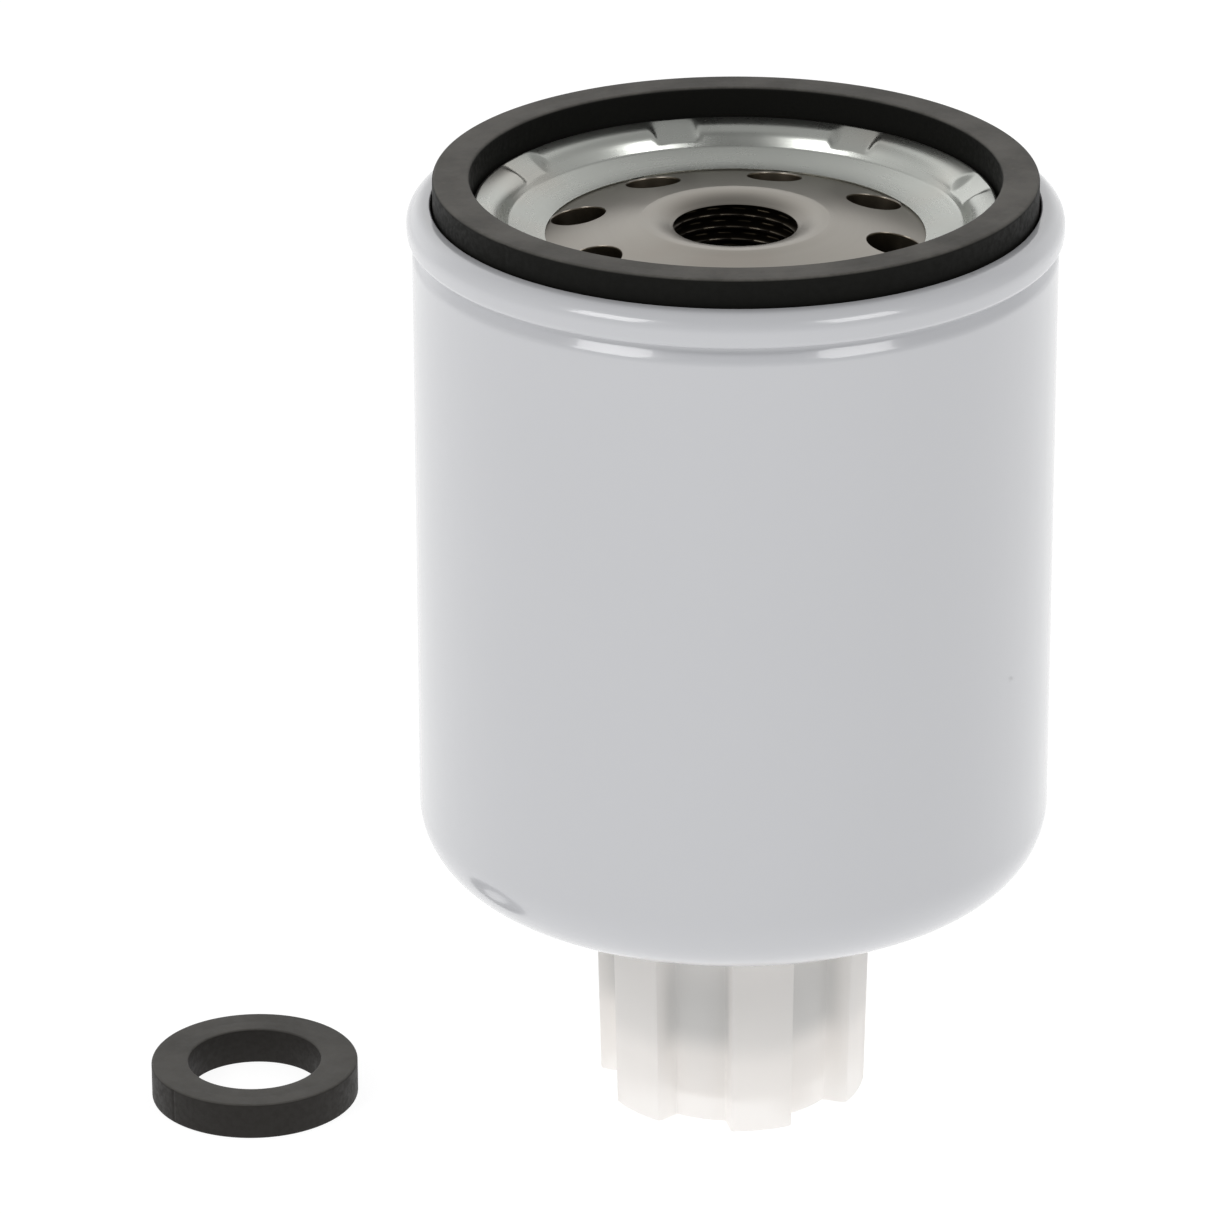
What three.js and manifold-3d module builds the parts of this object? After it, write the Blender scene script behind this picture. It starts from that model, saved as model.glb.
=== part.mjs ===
// Spin-on fuel filter and water separator with a hand-turned drain knob, and its loose nipple seal.
// Millimetres, +Z up. The origin is on the filter's axis, in the plane that the drain knob stands on.

import * as THREE from 'three';
import { mergeVertices } from 'three/addons/utils/BufferGeometryUtils.js';
import Module from 'manifold-3d';

const wasm = await Module();
wasm.setup();

// ---------------------------------------------------------------- driving dimensions
const GAP = 0.2;                 // clearance between pieces that touch on the real filter

const CAN_R = 37.3;              // outside radius of the can
const CAN_WALL = 0.6;
const CAN_BOTTOM_Z = 29.0;       // outside of the can's flat bottom
const CAN_CORNER_R = 8.7;        // outside radius of the bottom corner
const CAN_HOLE_R = 8.4;          // hole for the drain boss

const SEAM_R = 38.0;             // widest radius of the rolled seam
const SEAM_TOP_Z = 112.1;
const SEAM_FOOT_Z = 108.1;
const SEAM_INNER_R = 35.15;      // chuck wall, outside of the gasket groove
const LID_SHEET = 0.6;
const CAN_HOOK_SHEET = 0.5;      // the can's rim is thinned where it is rolled

const GASKET_R = 34.95;
const GASKET_HOLE_R = 30.65;
const GASKET_TOP_Z = 115.3;
const GASKET_H = 7.3;
const GASKET_EDGE = 0.35;        // moulded edge break

const BEAD_R = 29.35;            // crest of the lid's retaining bead
const BEAD_TOP_Z = 111.75;
const LID_CREASE_R = 26.5;
const LID_CREASE_Z = 109.4;
const LID_HOLE_R = 22.0;
const LID_HOLE_Z = 108.15;
const DENT_COUNT = 8;            // flats pressed into the bead to hold the gasket
const DENT_WIDTH = 5.2;
const DENT_DEPTH = 0.3;
const DENT_PHASE_DEG = 105.0;    // direction of the first dent, from +X

const THREAD_MAJOR_R = 8.0;      // M16 x 1.5
const THREAD_MINOR_R = 7.19;
const THREAD_PITCH = 1.5;
const THREAD_TURNS = 7;
const MOUTH_R = 7.45;
const MOUTH_Z = 109.15;
const PLATE_CREST_R = 10.6;
const PLATE_CREST_Z = 109.95;
const PLATE_T = 3.0;
const PLATE_R = 35.6;
const PLATE_RIM_Z = 106.6;       // top of the rim, under the gasket groove
const NECK_R = 9.4;
const NECK_FOOT_Z = 97.0;
const INLET_COUNT = 8;
const INLET_R = 3.2;
const INLET_PCD_R = 18.8;
const INLET_PHASE_DEG = 76.0;    // direction of the first inlet hole, from +X

const ELEMENT_R = 33.2;          // outside of the end caps
const CAP_SHEET = 0.5;
const CAP_RIM_H = 4.0;
const TOP_CAP_Z = 101.8;         // upper face of the top end cap
const BOTTOM_CAP_Z = 45.0;       // lower face of the bottom end cap
const POTTING_H = 2.4;
const TUBE_R = 14.6;             // outside of the centre tube
const TUBE_WALL = 0.5;
const TUBE_ROWS = 5;
const TUBE_COLUMNS = 6;
const TUBE_HOLE_R = 2.0;
const PLEAT_COUNT = 44;
const PLEAT_OUTER_R = 31.6;
const PLEAT_INNER_R = 15.4;
const PAPER_T = 0.5;

const SPRING_R = 16.5;           // mean coil radius
const WIRE_R = 0.9;
const SPRING_FOOT_Z = 29.9;
const SEAT_SHEET = 0.6;
const SPRING_TURNS = 4;

const BOSS_R = 11.0;
const BOSS_FOOT_Z = 6.8;
const BOSS_SHOULDER_Z = 27.4;
const BOSS_STUD_R = 8.0;
const BOSS_TOP_Z = 35.0;
const BOSS_THREAD_R = 6.6;       // bore for the knob's screw
const BOSS_SEAL_R = 5.0;         // narrower bore that the O-ring seals in
const BOSS_STEP_Z = 24.0;
const NUT_FLATS_R = 10.5;
const NUT_H = 3.2;

const KNOB_TOP_Z = 27.0;
const KNOB_RIB_TOP_R = 16.5;
const KNOB_ROOT_TOP_R = 13.7;
const KNOB_DRAFT = 0.6;          // how much smaller each radius is at the foot
const KNOB_BORE_R = 11.9;
const KNOB_FLOOR_T = 2.4;
const RIB_COUNT = 6;
const RIB_CREST_DEG = 26;
const RIB_ROOT_DEG = 35;
const RIB_PHASE_DEG = -76.8;     // direction of the rib nearest the front, from +X
const SCREW_R = 6.3;
const SCREW_TOP_Z = 22.5;
const NOSE_R = 4.6;
const NOSE_TOP_Z = 30.0;
const ORING_Z = 27.6;
const ORING_WIRE_R = 0.7;
const ORING_R = 4.1;             // mean radius

const LOOSE_RING_R = 12.4;
const LOOSE_HOLE_R = 7.93;
const LOOSE_H = 4.5;
const LOOSE_AT = [-57.4, -5.9];

const ROUND = 32;                // facets round a full circle
const SMALL_ROUND = 24;

// ---------------------------------------------------------------- materials
const finishes = {
  white_paint: { color: 0xe4e7ee, roughness: 0.22, metalness: 0.0 },
  zinc_steel: { color: 0xc9cccb, roughness: 0.28, metalness: 1.0 },
  plate_steel: { color: 0x8a8378, roughness: 0.42, metalness: 1.0 },
  gasket_rubber: { color: 0x242321, roughness: 0.75, metalness: 0.0 },
  cap_steel: { color: 0xb4b6b4, roughness: 0.35, metalness: 1.0 },
  potting: { color: 0x6d2f26, roughness: 0.6, metalness: 0.0 },
  filter_paper: { color: 0xd9c58e, roughness: 0.9, metalness: 0.0 },
  spring_steel: { color: 0x6f7174, roughness: 0.35, metalness: 1.0 },
  boss_steel: { color: 0x3d3b39, roughness: 0.45, metalness: 0.8 },
  sealant: { color: 0x7c8a86, roughness: 0.7, metalness: 0.0 },
  knob_plastic: { color: 0xd8d4cf, roughness: 0.4, metalness: 0.0 },
};

// ---------------------------------------------------------------- shape helpers
const rad = THREE.MathUtils.degToRad;

/** Points of an arc in the (radius, height) plane, angles in degrees. */
function arc(r, z, radius, from, to, steps) {
  return Array.from({ length: steps + 1 }, (_, i) => {
    const a = rad(from + ((to - from) * i) / steps);
    return [r + radius * Math.cos(a), z + radius * Math.sin(a)];
  });
}

/** A solid turned about Z from a closed loop of [radius, height] points. */
function turned(loop, facets = ROUND) {
  const area = loop.reduce((sum, [r, z], i) => {
    const [rn, zn] = loop[(i + 1) % loop.length];
    return sum + r * zn - rn * z;
  }, 0);
  const ordered = area > 0 ? loop : [...loop].reverse();
  const onAxis = ordered.some(([r]) => r === 0);
  const start = onAxis ? ordered.findIndex(([r], i) => r === 0
    && ordered[(i + ordered.length - 1) % ordered.length][0] === 0) : 0;
  const rolled = [...ordered.slice(start), ...ordered.slice(0, start)];
  const profile = onAxis ? rolled : [...rolled, rolled[0]];
  const points = profile.map(([r, z]) => new THREE.Vector2(r, z));
  return new THREE.LatheGeometry(points, facets).rotateX(Math.PI / 2);
}

/** Both faces of a sheet that follows a centre line of [radius, height] points. */
function sheetLoop(line, thickness) {
  const side = (sign) => line.map(([r, z], i) => {
    const [ra, za] = line[Math.max(i - 1, 0)];
    const [rb, zb] = line[Math.min(i + 1, line.length - 1)];
    const before = i > 0 ? Math.atan2(z - za, r - ra) : Math.atan2(zb - z, rb - r);
    const after = i < line.length - 1 ? Math.atan2(zb - z, rb - r) : before;
    let bend = after - before;
    bend = Math.atan2(Math.sin(bend), Math.cos(bend));
    const normal = before + bend / 2 + Math.PI / 2;
    const reach = (sign * thickness) / 2 / Math.cos(bend / 2);
    return [r + reach * Math.cos(normal), z + reach * Math.sin(normal)];
  });
  return [...side(1), ...side(-1).reverse()];
}

/** A flat outline of [x, y] points, with optional holes, raised from z to z + height. */
function raised(outline, z, height, holes = []) {
  const path = (points) => points.map(([x, y]) => new THREE.Vector2(x, y));
  const shape = new THREE.Shape(path(outline));
  holes.forEach((hole) => shape.holes.push(new THREE.Path(path(hole))));
  return new THREE.ExtrudeGeometry(shape, { depth: height, bevelEnabled: false }).translate(0, 0, z);
}

/** Points of a circle or regular polygon. */
function ring(radius, facets, phase = 0) {
  return Array.from({ length: facets }, (_, i) => {
    const a = phase + (2 * Math.PI * i) / facets;
    return [radius * Math.cos(a), radius * Math.sin(a)];
  });
}

/** A Manifold solid made from a closed three.js geometry. */
function solid(geometry) {
  const bare = geometry.index ? geometry.toNonIndexed() : geometry.clone();
  bare.deleteAttribute('normal');
  bare.deleteAttribute('uv');
  const merged = mergeVertices(bare, 1e-4);
  const mesh = new wasm.Mesh({
    numProp: 3,
    vertProperties: new Float32Array(merged.attributes.position.array),
    triVerts: new Uint32Array(merged.index.array),
  });
  mesh.merge();
  return new wasm.Manifold(mesh);
}

/** A three.js geometry made from a Manifold solid. */
function geometryOf(manifold) {
  const { vertProperties, triVerts } = manifold.getMesh();
  const geometry = new THREE.BufferGeometry();
  geometry.setAttribute('position', new THREE.BufferAttribute(vertProperties, 3));
  geometry.setIndex(new THREE.BufferAttribute(triVerts, 1));
  return geometry;
}

/** One geometry with every cutter taken away. */
function cut(geometry, cutters) {
  return geometryOf(cutters.reduce((body, cutter) => body.subtract(solid(cutter)), solid(geometry)));
}

/** One geometry with every addition joined on. */
function join(geometry, additions) {
  return geometryOf(additions.reduce((body, part) => body.add(solid(part)), solid(geometry)));
}

/** A geometry copied round Z at equal steps. */
function around(geometry, count, phaseDeg) {
  return Array.from({ length: count }, (_, i) => (
    geometry.clone().rotateZ(rad(phaseDeg + (360 * i) / count))
  ));
}

const filter = new THREE.Group();

function addNode(name, geometry, finish) {
  const mesh = new THREE.Mesh(geometry, new THREE.MeshStandardMaterial(finishes[finish]));
  mesh.name = name;
  filter.add(mesh);
}

// ---------------------------------------------------------------- can: drawn shell with its rolled rim
// Seam layers from the inside out: lid, can wall, can hook, lid.
const canWallOuterR = SEAM_INNER_R + LID_SHEET + GAP + CAN_HOOK_SHEET;
const canHookOuterR = SEAM_R - LID_SHEET - GAP;
const canHookTopZ = SEAM_TOP_Z - LID_SHEET - GAP;
const canHookFootZ = SEAM_FOOT_Z + LID_SHEET + GAP + 0.3;
const neckTopZ = SEAM_FOOT_Z - 0.2;
const neckFootZ = SEAM_FOOT_Z - 2.2;

function canGeometry() {
  const innerCorner = CAN_CORNER_R - CAN_WALL;
  const cornerR = CAN_R - CAN_CORNER_R;
  const cornerZ = CAN_BOTTOM_Z + CAN_CORNER_R;
  const rollR = (canHookOuterR - canWallOuterR + CAN_HOOK_SHEET) / 2;
  const rollCentre = canHookOuterR - rollR;
  const innerRollR = rollR - CAN_HOOK_SHEET;
  return turned([
    [CAN_HOLE_R, CAN_BOTTOM_Z],
    ...arc(cornerR, cornerZ, CAN_CORNER_R, -90, 0, 6),
    [CAN_R, neckFootZ],
    [(CAN_R + canWallOuterR) / 2 + 0.15, (neckFootZ + neckTopZ) / 2 + 0.2],
    [canWallOuterR, neckTopZ],
    [canWallOuterR, canHookTopZ - rollR],
    ...arc(rollCentre, canHookTopZ - rollR, innerRollR, 90, 0, 2),
    [canHookOuterR - CAN_HOOK_SHEET, canHookFootZ],
    [canHookOuterR, canHookFootZ],
    ...arc(rollCentre, canHookTopZ - rollR, rollR, 0, 180, 4),
    [canWallOuterR - CAN_HOOK_SHEET, neckTopZ],
    [CAN_R - CAN_WALL, neckFootZ - 0.3],
    ...arc(cornerR, cornerZ, innerCorner, 0, -90, 5),
    [CAN_HOLE_R, CAN_BOTTOM_Z + CAN_WALL],
  ]);
}
addNode('can', canGeometry(), 'white_paint');

// ---------------------------------------------------------------- seaming lid: gasket groove, bead and hook
const grooveFloorZ = GASKET_TOP_Z - GASKET_H - GAP;

function lidGeometry() {
  const half = LID_SHEET / 2;
  const hookR = (SEAM_R - SEAM_INNER_R) / 2;
  const hookCentre = SEAM_INNER_R + hookR;
  const hookTop = SEAM_TOP_Z - hookR;
  const beadLegR = GASKET_HOLE_R - GAP - half;
  const centreLine = [
    [LID_HOLE_R, LID_HOLE_Z - half],
    [LID_CREASE_R, LID_CREASE_Z - half],
    [BEAD_R - 0.9, BEAD_TOP_Z - 0.75],
    [BEAD_R, BEAD_TOP_Z - half],
    [beadLegR - 0.15, BEAD_TOP_Z - 0.75],
    [beadLegR, BEAD_TOP_Z - 1.6],
    [beadLegR, grooveFloorZ - half],
    [SEAM_INNER_R + half, grooveFloorZ - half],
    [SEAM_INNER_R + half, hookTop],
    ...arc(hookCentre, hookTop, hookR - half, 150, 30, 3),
    [SEAM_R - half, hookTop],
    [SEAM_R - half, SEAM_FOOT_Z + 0.9],
    [SEAM_R - half - 0.35, SEAM_FOOT_Z + half],
    [SEAM_R - half - 1.1, SEAM_FOOT_Z + half],
  ];
  const dentTool = 2.0;                            // thickness of the flat pressing tool
  const [wallR, wallZ] = [LID_CREASE_R, LID_CREASE_Z - half];
  const wallSlope = Math.atan2(BEAD_TOP_Z - 0.75 - wallZ, BEAD_R - 0.9 - wallR);
  const sink = half - DENT_DEPTH + dentTool / 2;   // from the sheet's middle to the tool's middle
  const dent = new THREE.BoxGeometry(dentTool, DENT_WIDTH, 2.0)
    .rotateY(Math.PI / 2 - wallSlope)
    .translate(wallR + 1.2 - sink * Math.sin(wallSlope), 0, wallZ + 1.0 + sink * Math.cos(wallSlope));
  return cut(turned(sheetLoop(centreLine, LID_SHEET)), around(dent, DENT_COUNT, DENT_PHASE_DEG));
}
addNode('seaming_lid', lidGeometry(), 'zinc_steel');

// ---------------------------------------------------------------- seam sealant: bead inside the hook
const sealantR = [canWallOuterR + 0.15, SEAM_R - LID_SHEET - 0.5];
const sealantZ = [SEAM_FOOT_Z + LID_SHEET + 0.1, canHookFootZ - 0.08];
addNode('seam_sealant', turned([
  [sealantR[0], sealantZ[0]], [sealantR[1], sealantZ[0]],
  [sealantR[1], sealantZ[1]], [sealantR[0], sealantZ[1]],
]), 'sealant');

// ---------------------------------------------------------------- thread plate
function threadPlateGeometry() {
  const threadTop = MOUTH_Z - 0.3;
  const grooves = Array.from({ length: THREAD_TURNS }, (_, i) => threadTop - i * THREAD_PITCH)
    .flatMap((z) => [[THREAD_MINOR_R, z], [THREAD_MAJOR_R, z - THREAD_PITCH / 2]]);
  const neckJoinZ = PLATE_CREST_Z - PLATE_T - 0.4;
  const plate = turned([
    [THREAD_MINOR_R, NECK_FOOT_Z],
    [NECK_R, NECK_FOOT_Z],
    [NECK_R, neckJoinZ - 1.2],
    [NECK_R + 1.2, neckJoinZ],
    [PLATE_R, PLATE_RIM_Z - PLATE_T],
    [PLATE_R, PLATE_RIM_Z],
    [LID_CREASE_R + 3, PLATE_RIM_Z],
    [LID_HOLE_R, LID_HOLE_Z - LID_SHEET - GAP],
    [PLATE_CREST_R + 0.9, PLATE_CREST_Z - 0.1],
    [PLATE_CREST_R, PLATE_CREST_Z],
    [(PLATE_CREST_R + MOUTH_R) / 2, PLATE_CREST_Z - 0.2],
    [MOUTH_R, MOUTH_Z],
    ...grooves,
    [THREAD_MINOR_R, threadTop - THREAD_TURNS * THREAD_PITCH],
  ]);
  const inlet = new THREE.CylinderGeometry(INLET_R, INLET_R, 4 * PLATE_T, 16)
    .rotateX(Math.PI / 2)
    .translate(INLET_PCD_R, 0, PLATE_RIM_Z - PLATE_T / 4);
  return cut(plate, around(inlet, INLET_COUNT, INLET_PHASE_DEG));
}
addNode('thread_plate', threadPlateGeometry(), 'plate_steel');

// ---------------------------------------------------------------- rubber seals outside
/** A square-cut rubber ring with small edge breaks. */
function squareRing(outerR, holeR, footZ, height, edge, facets) {
  const topZ = footZ + height;
  return turned([
    [holeR, footZ + edge], [holeR + edge, footZ], [outerR - edge, footZ], [outerR, footZ + edge],
    [outerR, topZ - edge], [outerR - edge, topZ], [holeR + edge, topZ], [holeR, topZ - edge],
  ], facets);
}
addNode('outer_gasket', squareRing(GASKET_R, GASKET_HOLE_R, GASKET_TOP_Z - GASKET_H, GASKET_H,
  GASKET_EDGE, ROUND), 'gasket_rubber');
addNode('loose_seal_ring', squareRing(LOOSE_RING_R, LOOSE_HOLE_R, 0, LOOSE_H, GASKET_EDGE, SMALL_ROUND)
  .translate(LOOSE_AT[0], LOOSE_AT[1], 0), 'gasket_rubber');

// ---------------------------------------------------------------- filter element
const capHoleR = NECK_R + GAP + 2.2;
const sealCrownZ = PLATE_CREST_Z - PLATE_T - 0.4 - 1.4;
addNode('element_top_seal', turned([
  [NECK_R + GAP, TOP_CAP_Z - 3.0], [capHoleR - GAP, TOP_CAP_Z - 3.0],
  [capHoleR - GAP, TOP_CAP_Z + GAP], [capHoleR + 1.8, TOP_CAP_Z + GAP],
  [capHoleR + 1.8, sealCrownZ - 0.9], [capHoleR, sealCrownZ], [NECK_R + GAP, sealCrownZ],
], SMALL_ROUND), 'gasket_rubber');

/** Section of an end cap: a disc with its rim turned towards the paper (sign +1 up, -1 down). */
function capLoop(innerR, faceZ, sign) {
  return [
    [innerR, faceZ], [ELEMENT_R - 0.6, faceZ], [ELEMENT_R, faceZ + 0.6 * sign],
    [ELEMENT_R, faceZ + CAP_RIM_H * sign], [ELEMENT_R - CAP_SHEET, faceZ + CAP_RIM_H * sign],
    [ELEMENT_R - CAP_SHEET, faceZ + CAP_SHEET * sign], [innerR, faceZ + CAP_SHEET * sign],
  ];
}
addNode('top_end_cap', turned(capLoop(capHoleR, TOP_CAP_Z, -1)), 'cap_steel');
addNode('bottom_end_cap', turned(capLoop(0, BOTTOM_CAP_Z, 1)), 'cap_steel');

const potTopZ = TOP_CAP_Z - CAP_SHEET - GAP;
const potBottomZ = BOTTOM_CAP_Z + CAP_SHEET + GAP;
const potR = ELEMENT_R - CAP_SHEET - GAP;

/** The annular pad of set adhesive in an end cap. */
function pottingGeometry(footZ) {
  return turned([[TUBE_R + GAP, footZ], [potR, footZ], [potR, footZ + POTTING_H],
    [TUBE_R + GAP, footZ + POTTING_H]]);
}
addNode('top_potting', pottingGeometry(potTopZ - POTTING_H), 'potting');
addNode('bottom_potting', pottingGeometry(potBottomZ), 'potting');

function centreTubeGeometry() {
  const innerR = TUBE_R - TUBE_WALL;
  const tube = turned([[innerR, potBottomZ], [TUBE_R, potBottomZ], [TUBE_R, potTopZ],
    [innerR, potTopZ]], SMALL_ROUND);
  const rowStep = (potTopZ - potBottomZ - 2 * POTTING_H) / TUBE_ROWS;
  const holes = Array.from({ length: TUBE_ROWS }, (_, row) => {
    const hole = new THREE.CylinderGeometry(TUBE_HOLE_R, TUBE_HOLE_R, 4, 6)
      .rotateZ(Math.PI / 2)
      .translate(TUBE_R, 0, potBottomZ + POTTING_H + (row + 0.5) * rowStep);
    const stagger = (row % 2) * (180 / TUBE_COLUMNS);
    return around(hole, TUBE_COLUMNS, stagger);
  }).flat();
  return cut(tube, holes);
}
addNode('centre_tube', centreTubeGeometry(), 'cap_steel');

const paperFootZ = potBottomZ + POTTING_H + GAP;
const paperTopZ = potTopZ - POTTING_H - GAP;

/** Radius at which one leg of a pleat, moved sideways by shift, crosses the ray at an angle. */
function legCrossing(shift, angle) {
  const half = Math.PI / PLEAT_COUNT;
  const tip = new THREE.Vector2(PLEAT_OUTER_R, 0);
  const fold = new THREE.Vector2(PLEAT_INNER_R * Math.cos(half), PLEAT_INNER_R * Math.sin(half));
  const along = fold.clone().sub(tip).normalize();
  const moved = tip.clone().add(new THREE.Vector2(along.y, -along.x).multiplyScalar(shift));
  const ray = new THREE.Vector2(Math.cos(angle), Math.sin(angle));
  return moved.cross(along) / ray.cross(along);
}

/** One face of the pleated sheet: a blunt point at every tip and a sharp one at every fold. */
function pleatOutline(bluntR, bluntAngle, sharpR, sharpAngle) {
  const spread = PAPER_T / 2 / bluntR;
  return Array.from({ length: PLEAT_COUNT }, (_, i) => {
    const a = (2 * Math.PI * i) / PLEAT_COUNT;
    return [[bluntR, a + bluntAngle - spread], [bluntR, a + bluntAngle + spread],
      [sharpR, a + sharpAngle]];
  }).flat()
    .sort(([, a], [, b]) => a - b)
    .map(([r, angle]) => [r * Math.cos(angle), r * Math.sin(angle)]);
}

function pleatedMediaGeometry() {
  const half = Math.PI / PLEAT_COUNT;
  const outside = pleatOutline(PLEAT_OUTER_R + PAPER_T / 2, 0, legCrossing(PAPER_T / 2, half), half);
  const inside = pleatOutline(PLEAT_INNER_R - PAPER_T / 2, half, legCrossing(-PAPER_T / 2, 0), 0);
  return raised(outside, paperFootZ, paperTopZ - paperFootZ, [inside]);
}
addNode('pleated_media', pleatedMediaGeometry(), 'filter_paper');

/** The folded metal strip that joins the two ends of the pleat pack, over one pleat's tip. */
function seamClipGeometry() {
  const slot = 0.75;
  const sheet = 0.35;
  const tipR = PLEAT_OUTER_R + 0.3;
  const footR = PLEAT_OUTER_R - 2.2;
  const section = [
    [footR, -slot - sheet], [tipR + sheet, -slot - sheet], [tipR + sheet, slot + sheet],
    [footR, slot + sheet], [footR, slot], [tipR, slot], [tipR, -slot], [footR, -slot],
  ];
  return raised(section, paperFootZ + 0.5, paperTopZ - paperFootZ - 1.0);
}
addNode('pleat_seam_clip', seamClipGeometry(), 'cap_steel');

// ---------------------------------------------------------------- spring and its seat
const seatZ = BOTTOM_CAP_Z - GAP - SEAT_SHEET;     // underside of the seat's rim
const seatDishZ = seatZ - 1.7;
addNode('spring_seat', turned([
  [8.0, seatDishZ], [13.6, seatDishZ], [14.4, seatZ], [19.4, seatZ],
  [19.4, seatZ + SEAT_SHEET], [14.0, seatZ + SEAT_SHEET], [13.2, seatDishZ + SEAT_SHEET],
  [8.0, seatDishZ + SEAT_SHEET],
], SMALL_ROUND), 'cap_steel');

class SpringCurve extends THREE.Curve {
  getPoint(t, target = new THREE.Vector3()) {
    const deadTurns = 1;
    const lift = 2 * WIRE_R + 0.25;                  // rise over a closed end turn
    const turn = t * SPRING_TURNS;
    const footZ = SPRING_FOOT_Z + WIRE_R;
    const headZ = seatZ - GAP - WIRE_R;
    const free = (headZ - footZ - 2 * lift) / (SPRING_TURNS - 2 * deadTurns);
    let z = footZ + lift + (turn - deadTurns) * free;
    if (turn < deadTurns) z = footZ + lift * turn;
    if (turn > SPRING_TURNS - deadTurns) z = headZ - lift * (SPRING_TURNS - turn);
    const a = 2 * Math.PI * turn;
    return target.set(SPRING_R * Math.cos(a), SPRING_R * Math.sin(a), z);
  }
}
function springGeometry() {
  const wire = new THREE.Shape(ring(WIRE_R, 6).map(([x, y]) => new THREE.Vector2(x, y)));
  return new THREE.ExtrudeGeometry(wire, {
    steps: SPRING_TURNS * 16, extrudePath: new SpringCurve(), bevelEnabled: false,
  });
}
addNode('element_spring', springGeometry(), 'spring_steel');

// ---------------------------------------------------------------- drain: boss, washer, nut, O-ring, knob
addNode('drain_boss', turned([
  [BOSS_THREAD_R, BOSS_FOOT_Z + 0.6], [BOSS_THREAD_R + 0.6, BOSS_FOOT_Z], [BOSS_R - 0.6, BOSS_FOOT_Z],
  [BOSS_R, BOSS_FOOT_Z + 0.6], [BOSS_R, BOSS_SHOULDER_Z], [BOSS_STUD_R, BOSS_SHOULDER_Z],
  [BOSS_STUD_R, BOSS_TOP_Z - 0.5], [BOSS_STUD_R - 0.5, BOSS_TOP_Z], [BOSS_SEAL_R, BOSS_TOP_Z],
  [BOSS_SEAL_R, BOSS_STEP_Z + 0.8], [BOSS_THREAD_R, BOSS_STEP_Z],
], SMALL_ROUND), 'boss_steel');
addNode('boss_washer', turned([
  [BOSS_STUD_R + GAP, BOSS_SHOULDER_Z + 0.1], [BOSS_R + 0.6, BOSS_SHOULDER_Z + 0.1],
  [BOSS_R + 0.6, CAN_BOTTOM_Z - 0.1], [BOSS_STUD_R + GAP, CAN_BOTTOM_Z - 0.1],
], SMALL_ROUND), 'gasket_rubber');
addNode('boss_lock_nut', raised(ring(NUT_FLATS_R / Math.cos(Math.PI / 6), 6),
  CAN_BOTTOM_Z + CAN_WALL + 0.1, NUT_H, [ring(BOSS_STUD_R + 0.15, SMALL_ROUND)]), 'cap_steel');
addNode('drain_o_ring', turned(arc(ORING_R, ORING_Z, ORING_WIRE_R, 0, 300, 5), SMALL_ROUND),
  'gasket_rubber');

/** Outline of the knob at its top: six wide ribs with sloped flanks. */
function knobOutline() {
  const points = [];
  for (let i = 0; i < RIB_COUNT; i += 1) {
    const centre = RIB_PHASE_DEG + (360 * i) / RIB_COUNT;
    const rootHalf = RIB_ROOT_DEG / 2;
    const crestHalf = RIB_CREST_DEG / 2;
    const valley = 360 / RIB_COUNT - RIB_ROOT_DEG;
    const place = (r, deg) => points.push([r * Math.cos(rad(deg)), r * Math.sin(rad(deg))]);
    [-1, -0.5, 0, 0.5, 1].forEach((k) => place(KNOB_RIB_TOP_R, centre + k * crestHalf));
    [0, 1 / 3, 2 / 3, 1].forEach((k) => place(KNOB_ROOT_TOP_R, centre + rootHalf + k * valley));
  }
  return points;
}

function knobGeometry() {
  const body = raised(knobOutline(), 0, KNOB_TOP_Z);
  const position = body.attributes.position;
  for (let i = 0; i < position.count; i += 1) {      // the draft of the mould
    const [x, y, z] = [position.getX(i), position.getY(i), position.getZ(i)];
    const r = Math.hypot(x, y);
    const scale = r > 0 ? (r - KNOB_DRAFT * (1 - z / KNOB_TOP_Z)) / r : 1;
    position.setXYZ(i, x * scale, y * scale, z);
  }
  const groove = ORING_WIRE_R + 0.15;
  const cavity = turned([[0, KNOB_FLOOR_T], [KNOB_BORE_R, KNOB_FLOOR_T],
    [KNOB_BORE_R, KNOB_TOP_Z + 1], [0, KNOB_TOP_Z + 1]], SMALL_ROUND);
  const screw = turned([
    [0, 1.0], [SCREW_R, 1.0], [SCREW_R, SCREW_TOP_Z - 1.6], [NOSE_R, SCREW_TOP_Z],
    [NOSE_R, ORING_Z - groove], [ORING_R - groove, ORING_Z - groove],
    [ORING_R - groove, ORING_Z + groove], [NOSE_R, ORING_Z + groove],
    [NOSE_R, NOSE_TOP_Z - 0.6], [NOSE_R - 0.6, NOSE_TOP_Z], [0, NOSE_TOP_Z],
  ], SMALL_ROUND);
  const drainSlot = new THREE.BoxGeometry(2.4, 2.6, SCREW_TOP_Z - KNOB_FLOOR_T)
    .translate(SCREW_R, 0, (SCREW_TOP_Z + KNOB_FLOOR_T) / 2 + 0.01);
  const outlet = new THREE.BoxGeometry(2.6, 4.2, 4 * KNOB_FLOOR_T)
    .translate(9.3, 0, KNOB_FLOOR_T / 2);
  const cup = cut(body, [cavity, ...around(outlet, 3, RIB_PHASE_DEG + 30)]);
  return cut(join(cup, [screw]), [drainSlot]);
}
addNode('drain_knob', knobGeometry(), 'knob_plastic');

export default filter;
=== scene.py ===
"""Looks of a spin-on fuel filter with a drain knob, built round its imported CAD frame.

Lengths are in millimetres up to the point where a mesh is made, and metres after it.
"""
import logging
import math
from dataclasses import dataclass
from enum import Enum
from typing import Callable, Optional, Sequence

import bpy
import numpy as np
from mathutils import Matrix, Vector


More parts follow.
